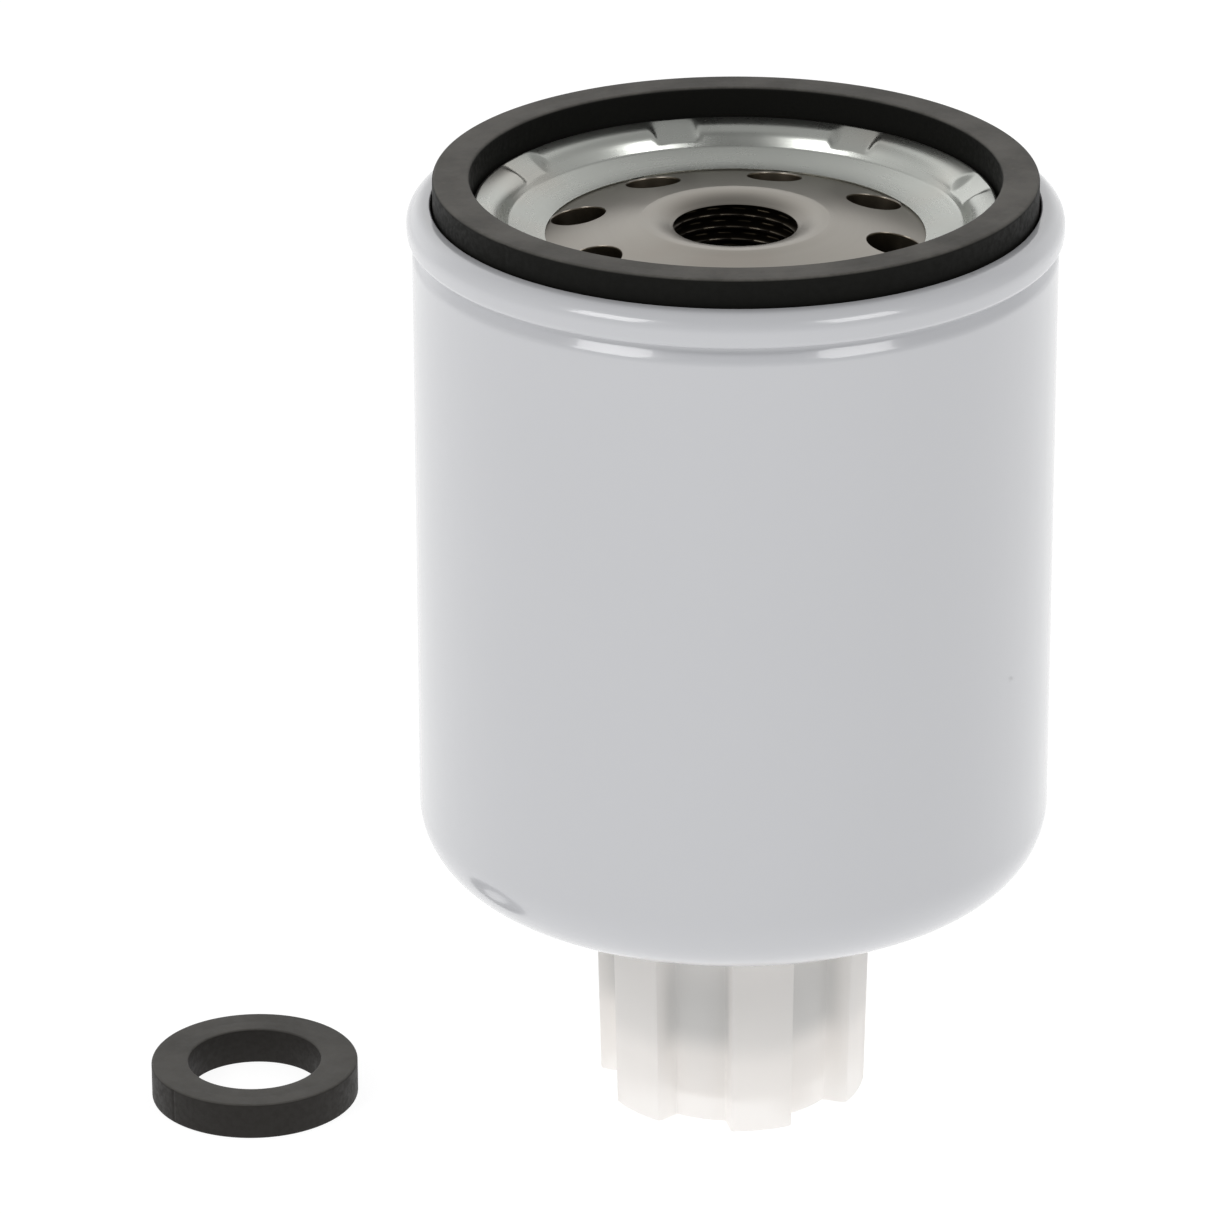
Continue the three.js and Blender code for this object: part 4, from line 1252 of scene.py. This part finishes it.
@dataclass
class FilterElement:
    """The pleated element inside: caps, adhesive, paper, clip, tube, seat and top seal."""

    cap_sheet: float = 0.5
    cap_rim: float = 4.0
    cap_hole_r: float = 11.8
    tube_wall: float = 0.5
    tube_rows: int = 9
    tube_columns: int = 14
    tube_hole_r: float = 1.7
    pleats: int = 44
    tip_r: float = 31.6
    fold_r: float = 15.5
    fold_round: float = 0.3
    paper: float = 0.5

    def cap(self, name: str, node: str, hole_r: float, upward: bool) -> None:
        """An end cap with two stiffening rings pressed into it.

        Args:
            name: Name of the piece.
            node: CAD node that it replaces.
            hole_r: Radius of its centre hole, 0 for none.
            upward: Whether its rim points up.
        """
        extent = Extent.of(node)
        way = 1.0 if upward else -1.0
        face = extent.low if upward else extent.high
        t, r = self.cap_sheet, extent.radius
        dip = 0.12 * way
        outer: list[Corner] = [
            (hole_r, face, 0.0), (17.0, face, 0.5), (18.0, face + dip, 0.5), (22.0, face + dip, 0.5),
            (23.0, face, 0.5), (r, face, 0.9), (r, face + self.cap_rim * way, 0.1)]
        inner: list[Corner] = [
            (r - t, face + self.cap_rim * way, 0.1), (r - t, face + t * way, 0.5),
            (23.0, face + t * way, 0.5), (22.0, face + dip + t * way, 0.5),
            (18.0, face + dip + t * way, 0.5), (17.0, face + t * way, 0.5),
            (hole_r, face + t * way, 0.0)]
        section = rounded(outer + inner, closed=hole_r > 0.0)
        piece = revolve(name, section, 160, closed=hole_r > 0.0)
        fit_out(piece, CAP_STEEL, Body.ELEMENT, node)

    def potting(self, name: str, node: str, free_side: float) -> None:
        """Set adhesive, drawn up slightly where it wets the paper and the tube.

        Args:
            name: Name of the piece.
            node: CAD node that it replaces.
            free_side: 1 where its free face looks up, -1 where it looks down.
        """
        extent = Extent.of(node)
        inner_r = 14.8
        up = extent.high if free_side > 0 else extent.low
        down = extent.low if free_side > 0 else extent.high
        sag = 0.25 * free_side
        section = rounded([
            (inner_r, down, 0.1), (extent.radius, down, 0.3), (extent.radius, up, 0.15),
            (extent.radius - 0.8, up - sag, 0.8), (inner_r + 0.8, up - sag, 0.8),
            (inner_r, up, 0.15)])
        fit_out(revolve(name, section, 160), POTTING, Body.ELEMENT, node)

    def build(self) -> None:
        """Build and fit every piece of the element."""
        self.cap("top_cap", "top_end_cap", self.cap_hole_r, upward=False)
        self.cap("bottom_cap", "bottom_end_cap", 0.0, upward=True)
        self.potting("top_adhesive", "top_potting", -1.0)
        self.potting("bottom_adhesive", "bottom_potting", 1.0)
        self.centre_tube()
        self.media()
        self.clip()
        self.seat()
        self.top_seal()

    def centre_tube(self) -> None:
        """The perforated tube that carries the paper."""
        extent = Extent.of("centre_tube")
        inner = extent.radius - self.tube_wall
        blank = revolve("tube_blank", rounded([
            (inner, extent.low, 0.0), (extent.radius, extent.low, 0.1),
            (extent.radius, extent.high, 0.1), (inner, extent.high, 0.0)]), 112)
        margin = 5.0
        step = (extent.high - extent.low - 2 * margin) / (self.tube_rows - 1)
        tube = bake_nodes("perforated_tube", blank, perforation_tree(), {
            "Rows": self.tube_rows, "Columns": self.tube_columns,
            "Tube radius": (extent.radius - self.tube_wall / 2) * MM,
            "Hole radius": self.tube_hole_r * MM, "First row": (extent.low + margin) * MM,
            "Row step": step * MM, "Material": CAP_STEEL.material()})
        fit_out(tube, CAP_STEEL, Body.ELEMENT, "centre_tube")

    def fold_corners(self) -> tuple[float, float]:
        """Where the pleats' sharp corners have to be for the rounded folds to end where they should.

        A fold is so sharp that rounding it takes off several millimetres of its corner.

        Returns:
            Radius of the outer and of the inner corners.
        """
        half = TURN / 2 / self.pleats
        outer, inner = self.tip_r, self.fold_r
        for _ in range(60):
            lean = math.atan2(inner * math.sin(half), outer - inner * math.cos(half))
            outer = self.tip_r + self.fold_round * (1.0 / math.sin(lean) - 1.0)
            inner = self.fold_r - self.fold_round * (1.0 / math.sin(lean + half) - 1.0)
        return outer, inner

    def media(self) -> None:
        """The pleated paper."""
        extent = Extent.of("pleated_media")
        outer, inner = self.fold_corners()
        paper = bake_nodes("pleated_paper", empty_carrier("pleats"), pleat_tree(), {
            "Pleats": self.pleats, "Tip radius": outer * MM, "Fold radius": inner * MM,
            "Middle": (extent.low + extent.high) / 2 * MM,
            "Height": (extent.high - extent.low) * MM, "Paper": self.paper * MM,
            "Rounding": self.fold_round * MM, "Material": PAPER.material()})
        fit_out(paper, PAPER, Body.ELEMENT, "pleated_media")

    def clip(self) -> None:
        """The crimped strip over the pleat where the paper's ends meet."""
        low, high = (np.array(corner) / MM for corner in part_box("pleat_seam_clip"))
        sheet, rows = 0.35, 48
        half = (high[1] - low[1]) / 2
        outline = rounded([
            (low[0], -half, 0.0), (high[0], -half, 0.5), (high[0], half, 0.5), (low[0], half, 0.0),
            (low[0], half - sheet, 0.0), (high[0] - sheet, half - sheet, 0.2),
            (high[0] - sheet, -half + sheet, 0.2), (low[0], -half + sheet, 0.0)], step_deg=20.0)
        heights = np.linspace(low[2], high[2], rows)
        crimp = 0.08 * (np.arange(rows) % 6 < 2)
        loops = [[(x, y * (1.0 - c), z) for x, y in outline] for z, c in zip(heights, crimp)]
        count = len(outline)
        faces = [(r * count + k, r * count + (k + 1) % count, (r + 1) * count + (k + 1) % count,
                  (r + 1) * count + k) for r in range(rows - 1) for k in range(count)]
        faces += [tuple(range(count))[::-1],
                  tuple((rows - 1) * count + k for k in range(count))]
        piece = add_mesh("crimped_clip", np.array(loops).reshape(-1, 3), faces)
        fit_out(piece, CAP_STEEL, Body.ELEMENT, "pleat_seam_clip")

    def seat(self) -> None:
        """The dished washer that the spring bears on."""
        extent = Extent.of("spring_seat")
        sheet, top = 0.6, extent.high - 0.3
        section = sheet_section([
            (8.2, extent.low + 0.3, 0.0), (13.3, extent.low + 0.3, 1.0), (14.3, top, 1.0),
            (extent.radius, top, 0.0)], sheet)
        fit_out(revolve("dished_seat", section, 128), CAP_STEEL, Body.ELEMENT, "spring_seat")

    def top_seal(self) -> None:
        """The lipped grommet round the plate's neck."""
        extent = Extent.of("element_top_seal")
        inner, flange = 9.6, extent.high - 3.1
        section = rounded([
            (inner + 0.3, extent.low, 0.3), (self.cap_hole_r - 0.2, extent.low, 0.5),
            (self.cap_hole_r - 0.2, flange, 0.2), (extent.radius, flange, 0.4),
            (extent.radius, extent.high - 0.9, 0.5), (11.6, extent.high, 0.6),
            (inner, extent.high, 0.4), (inner, flange + 0.5, 0.4), (inner + 0.3, flange, 0.4)])
        fit_out(revolve("neck_grommet", section, 144), RUBBER, Body.ELEMENT, "element_top_seal")


@dataclass
class SpringAndSealant:
    """The coil spring under the element and the compound in the seam."""

    wire_r: float = 0.9
    turns: float = 4.0
    travel: float = 1.5

    def build(self) -> None:
        """Build and fit both."""
        extent = Extent.of("element_spring")
        foot, head = extent.low + self.wire_r, extent.high - self.wire_r
        spring = bake_nodes("coil_spring_wire", empty_carrier("spring"), spring_tree(), {
            "Turns": self.turns, "Coil radius": (extent.radius - self.wire_r) * MM,
            "Wire radius": self.wire_r * MM, "Foot": foot * MM, "Head": head * MM,
            "Closed lift": (2 * self.wire_r + 0.25) * MM,
            "Material": SPRING_STEEL.material()}, sharp_deg=50.0)
        fit_out(spring, SPRING_STEEL, Body.FILTER, "element_spring")
        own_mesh(spring)
        seam = Extent.of("seam_sealant")
        inner = 36.6
        bead = rounded([(inner, seam.low, 0.1), (seam.radius, seam.low, 0.1),
                        (seam.radius, seam.high, 0.1), (inner, seam.high, 0.1)])
        fit_out(revolve("seam_compound", bead, 160), SEALANT, Body.FILTER, "seam_sealant")


@dataclass
class DrainScrewSizes:
    """Sizes that the screw and its boss share."""

    pitch: float = 2.0
    crest_r: float = 6.25
    depth: float = 0.9
    clearance: float = 0.2


@dataclass
class DrainBoss:
    """The threaded steel boss in the can's bottom, with its washer and lock nut."""

    screw: DrainScrewSizes
    shoulder_z: float = 27.4
    stud_r: float = 8.0
    seal_r: float = 5.0
    step_z: float = 24.0
    nut_flats: float = 21.0

    def threaded(self, r: np.ndarray, z: np.ndarray, angle: np.ndarray) -> tuple[np.ndarray, np.ndarray]:
        """Cut the internal thread, which follows the screw's with a small clearance."""
        bore = self.screw.crest_r + self.screw.clearance
        crest = self.screw.depth * (1.0 - screw_depth(z, angle, self.screw.pitch))
        ends = np.clip((z - 8.6) / 1.0, 0.0, 1.0) * np.clip((21.5 - z) / 1.0, 0.0, 1.0)
        inside = np.abs(r - bore) < 1e-3
        return np.where(inside, r - crest * ends, r), z

    def build(self) -> None:
        """Build and fit boss, washer and nut."""
        extent = Extent.of("drain_boss")
        bore = self.screw.crest_r + self.screw.clearance
        section = rounded([
            (bore, extent.low + 0.6, 0.0), (bore + 0.6, extent.low, 0.0),
            (extent.radius, extent.low, 0.6), (extent.radius, self.shoulder_z, 0.4),
            (self.stud_r, self.shoulder_z, 0.2), (self.stud_r, extent.high, 0.5),
            (self.seal_r, extent.high, 0.4), (self.seal_r, self.step_z + 0.8, 0.3),
            (bore, self.step_z, 0.2)], step_deg=9.0)
        section = dense(section + [section[0]], 0.12, extent.low + 0.6, self.step_z)[:-1]
        boss = revolve("drain_boss_steel", section, 160, warp=self.threaded, sharp_deg=45.0)
        fit_out(boss, BOSS_STEEL, Body.FILTER, "drain_boss")
        washer = Extent.of("boss_washer")
        ring = rounded([
            (self.stud_r + 0.2, washer.low, 0.2), (washer.radius, washer.low, 0.4),
            (washer.radius, washer.high, 0.4), (self.stud_r + 0.2, washer.high, 0.2)])
        fit_out(revolve("boss_washer_rubber", ring, 128), RUBBER, Body.FILTER, "boss_washer")
        self.lock_nut()

    def lock_nut(self) -> None:
        """A hexagon nut with its corners turned off."""
        nut = Extent.of("boss_lock_nut")
        flats = self.nut_flats / 2
        hole = self.stud_r + 0.15
        chamfer = 0.7
        section = rounded([
            (hole + 0.4, nut.low, 0.0), (flats * 1.02, nut.low, 0.0), (nut.radius, nut.low + chamfer, 0.0),
            (nut.radius, nut.high - chamfer, 0.0), (flats * 1.02, nut.high, 0.0),
            (hole + 0.4, nut.high, 0.0), (hole, nut.high - 0.4, 0.0), (hole, nut.low + 0.4, 0.0)])

        def flatten(r: np.ndarray, z: np.ndarray, angle: np.ndarray) -> tuple[np.ndarray, np.ndarray]:
            """Cut six flats."""
            off = np.mod(angle, TURN / 6) - TURN / 12
            return np.minimum(r, flats / np.cos(off)), z

        piece = revolve("hex_lock_nut", section, 216, warp=flatten, sharp_deg=25.0)
        fit_out(piece, CAP_STEEL, Body.FILTER, "boss_lock_nut")


@dataclass
class DrainKnob:
    """The ribbed knob, its cup and its hollow-slotted screw, moulded as one, and its O-ring."""

    screw: DrainScrewSizes
    ribs: int = 6
    rib_phase_deg: float = -76.8
    crest_half_deg: float = 12.8
    root_half_deg: float = 17.0
    root_r: float = 13.7
    draft: float = 0.6
    bore_r: float = 11.9
    floor: float = 2.4
    nose_r: float = 4.6
    screw_top: float = 22.5
    rim_z: float = 27.0
    ring_z: float = 27.6
    ring_wire: float = 0.7

    def outline(self, angle: np.ndarray, crest_r: float) -> np.ndarray:
        """Radius of the ribbed outside at each direction, at the knob's rim."""
        step = TURN / self.ribs
        off = np.abs(np.mod(angle - math.radians(self.rib_phase_deg) + step / 2, step) - step / 2)
        low, high = math.radians(self.crest_half_deg), math.radians(self.root_half_deg)
        share = np.clip((off - low) / (high - low), 0.0, 1.0)
        eased = share + 0.12 * np.sin(TURN * share) * -1.0
        return crest_r + (self.root_r - crest_r) * np.clip(eased, 0.0, 1.0)

    def shaped(self, r: np.ndarray, z: np.ndarray, angle: np.ndarray) -> tuple[np.ndarray, np.ndarray]:
        """Put ribs and draft on the outside and a thread on the screw."""
        crest = Extent.of("drain_knob").radius
        outside = r > self.bore_r + 0.05
        wall = self.outline(angle, crest) - self.draft * (1.0 - z / self.rim_z)
        inset = crest - r
        near_edge = inset < 1.0
        skin = np.where(near_edge, wall - inset, r)
        pulled = np.where(near_edge, skin, np.minimum(r, wall - 1.0))
        r = np.where(outside, pulled, r)
        bare = self.screw.crest_r
        cut = self.screw.depth * (1.0 - screw_depth(z, angle, self.screw.pitch))
        ends = np.clip((z - 5.0) / 1.5, 0.0, 1.0) * np.clip((20.6 - z) / 1.0, 0.0, 1.0)
        on_screw = np.abs(r - bare) < 1e-3
        return np.where(on_screw, r - cut * ends, r), z

    def build(self) -> None:
        """Build and fit the knob and its O-ring."""
        extent = Extent.of("drain_knob")
        crest, top = extent.radius, extent.high
        screw_r, ring_r = self.screw.crest_r, 4.1
        groove = self.ring_wire + 0.15
        edge = 0.3
        path: list[Corner] = [
            (0.0, 0.0, 0.0), (self.bore_r + 0.6, 0.0, 0.0), (crest, 0.0, edge),
            (crest, self.rim_z, edge), (self.bore_r, self.rim_z, 0.25), (self.bore_r, self.floor, 0.8),
            (screw_r, self.floor, 0.6), (screw_r, self.screw_top - 1.6, 0.0),
            (self.nose_r, self.screw_top, 0.2), (self.nose_r, self.ring_z - groove, 0.1),
            (ring_r - groove, self.ring_z - groove, 0.15), (ring_r - groove, self.ring_z + groove, 0.15),
            (self.nose_r, self.ring_z + groove, 0.1), (self.nose_r, top, 0.6), (0.0, top, 0.0)]
        section = rounded(path, closed=False, step_deg=15.0)
        thread_low, thread_high = self.floor + 0.6, self.screw_top - 1.6
        section = dense(section, 0.22, thread_low, thread_high)
        blank = revolve("knob_blank", section, 504, closed=False, warp=self.shaped, sharp_deg=35.0)
        outlet = self.block("outlet_tool", (8.0, 10.6), 2.1, (-2.0, self.floor + 1.0))
        phase = math.radians(self.rib_phase_deg + 180.0 / self.ribs)
        drained = bake_nodes("knob_cup", blank, ring_cut_tree(), {
            "Cutter": outlet, "Count": 3, "Phase": phase, "Material": KNOB_PLASTIC.material()})
        bpy.data.objects.remove(outlet)
        slot = self.block("slot_tool", (screw_r - 1.2, screw_r + 1.0), 1.3,
                          (self.floor + 0.8, self.screw_top + 0.5))
        knob = bake_nodes("drain_knob_moulding", drained, ring_cut_tree(), {
            "Cutter": slot, "Count": 1, "Phase": 0.0, "Material": KNOB_PLASTIC.material()},
            sharp_deg=35.0)
        bpy.data.objects.remove(slot)
        fit_out(knob, KNOB_PLASTIC, Body.DRAIN_SCREW, "drain_knob")
        circle = [(ring_r + self.ring_wire * math.cos(a), self.ring_z + self.ring_wire * math.sin(a))
                  for a in np.arange(20) * TURN / 20]
        seal = revolve("screw_o_ring", circle, 96)
        fit_out(seal, RUBBER, Body.DRAIN_SEAL, "drain_o_ring")

    @staticmethod
    def block(name: str, reach: tuple[float, float], half: float,
              span: tuple[float, float]) -> bpy.types.Object:
        """A square cutting tool.

        Args:
            name: Name of the tool.
            reach: Nearest and furthest distance from the axis.
            half: Half its width.
            span: Lowest and highest height.

        Returns:
            The tool.
        """
        points = np.array([(x, y, z) for z in span for x, y in (
            (reach[0], -half), (reach[1], -half), (reach[1], half), (reach[0], half))])
        faces = [(3, 2, 1, 0), (4, 5, 6, 7), (0, 1, 5, 4), (1, 2, 6, 5), (2, 3, 7, 6), (3, 0, 4, 7)]
        return add_mesh(name, points, faces)


# ------------------------------------------------------------------ studio
@dataclass
class ProductCamera:
    """A long lens that looks slightly down on the filter from the front."""

    distance: float = 792.9
    height: float = 398.1
    pitch_deg: float = 23.02
    yaw_deg: float = 1.08
    roll_deg: float = -0.19
    half_view_deg: float = 4.745

    def build(self) -> None:
        """Make the camera and set it as the scene's."""
        data = bpy.data.cameras.new("product_camera")
        data.sensor_width = 36.0
        data.lens = data.sensor_width / 2 / math.tan(math.radians(self.half_view_deg))
        data.clip_start, data.clip_end = 0.05, 20.0
        camera = bpy.data.objects.new("product_camera", data)
        bpy.context.scene.collection.objects.link(camera)
        place = Matrix.Translation(Vector((0.0, -self.distance, self.height)) * MM)
        yaw = Matrix.Rotation(math.radians(self.yaw_deg), 4, "Z")
        pitch = Matrix.Rotation(math.radians(90.0 - self.pitch_deg), 4, "X")
        roll = Matrix.Rotation(math.radians(self.roll_deg), 4, "Z")
        camera.matrix_world = place @ yaw @ pitch @ roll
        bpy.context.scene.camera = camera


@dataclass(frozen=True)
class Softbox:
    """A square studio light aimed at the filter."""

    name: str
    place: tuple[float, float, float]
    size: tuple[float, float]
    power: float
    tint: tuple[float, float, float] = (1.0, 1.0, 1.0)

    def build(self, target: Vector) -> None:
        """Make the light and point it at the target."""
        data = bpy.data.lights.new(self.name, "AREA")
        data.shape = "RECTANGLE"
        data.size, data.size_y = self.size
        data.energy = self.power
        data.color = self.tint
        light = bpy.data.objects.new(self.name, data)
        bpy.context.scene.collection.objects.link(light)
        light.location = self.place
        aim = target - Vector(self.place)
        light.rotation_euler = aim.to_track_quat("-Z", "Y").to_euler()


@dataclass
class Studio:
    """A light table in a white tent, brightest at its back and left, with two softboxes."""

    tent_side: float = 1.12
    tent_top: float = 0.70
    front_dim: float = 0.55
    side_share: float = 0.6
    left_lift: float = 0.16
    floor_colour: tuple[float, float, float] = (0.2, 0.2, 0.2)
    floor_glow: float = 0.90

    def build(self) -> None:
        """Make the floor, the tent's light and the softboxes."""
        bpy.context.scene.view_settings.view_transform = "Standard"
        self.tent()
        self.floor()
        target = Vector((0.0, 0.0, 0.06))
        for box in (
            Softbox("left_box", (-0.83, -0.74, 0.95), (0.56, 0.50), 4.5),
            Softbox("right_box", (0.83, -0.74, 0.95), (0.56, 0.50), 3.8),
        ):
            box.build(target)

    def tent(self) -> None:
        """Light from all round, brightest low at the back."""
        world = bpy.data.worlds.new("light_tent")
        bpy.context.scene.world = world
        world.use_nodes = True
        graph = Graph(world.node_tree)
        across, depth, height = graph.split(graph.add("ShaderNodeTexCoord").outputs["Generated"])
        background = world.node_tree.nodes["Background"]
        background.inputs["Color"].default_value = (1.0, 1.0, 1.0, 1.0)
        level = graph.spread(height, 0.2, 1.0, self.tent_side, self.tent_top)
        lean = graph.spread(across, -1.0, 1.0, 1.0 + self.left_lift, 1.0 - self.left_lift)
        sides = graph.spread(depth, 0.4, 0.72, self.side_share, 1.0)
        level = graph.math("MULTIPLY", level, graph.math("MULTIPLY", lean, sides))
        front = graph.spread(depth, -0.1, -0.5, 0.0, self.front_dim)
        raised = graph.math("MULTIPLY", front, graph.spread(height, 0.1, 0.4))
        graph.put(background.inputs["Strength"],
                  graph.math("MULTIPLY", level, graph.math("SUBTRACT", 1.0, raised)))

    def floor(self) -> None:
        """A pale seamless floor, lit from beneath as on a light table."""
        half = 6000.0
        points = np.array([(-half, -half, 0.0), (half, -half, 0.0), (half, half, 0.0), (-half, half, 0.0)])
        sweep = add_mesh("studio_floor", points, [(0, 1, 2, 3)])
        material = bpy.data.materials.new("pale_sweep")
        material.use_nodes = True
        shader = material.node_tree.nodes["Principled BSDF"]
        shader.inputs["Base Color"].default_value = (*self.floor_colour, 1.0)
        shader.inputs["Roughness"].default_value = 0.9
        shader.inputs["Specular IOR Level"].default_value = 0.1
        shader.inputs["Emission Color"].default_value = (1.0, 1.0, 1.0, 1.0)
        shader.inputs["Emission Strength"].default_value = self.floor_glow
        sweep.data.materials.append(material)


def corners(box: tuple[Vector, Vector]) -> list[list[float]]:
    """Two corners of a box as plain lists."""
    return [list(box[0]), list(box[1])]


def main() -> None:
    """Build the studio and every sub-assembly, in order."""
    logging.basicConfig(level=logging.INFO, format="%(name)s: %(message)s")
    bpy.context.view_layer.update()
    ProductCamera().build()
    Studio().build()
    screw = DrainScrewSizes()
    plate = ThreadPlate()
    for part in (PaintedCan(), plate, SeamingLid(plate), SquareSeals(), FilterElement(),
                 SpringAndSealant(), DrainBoss(screw), DrainKnob(screw)):
        part.build()


if __name__ == "__main__":
    main()
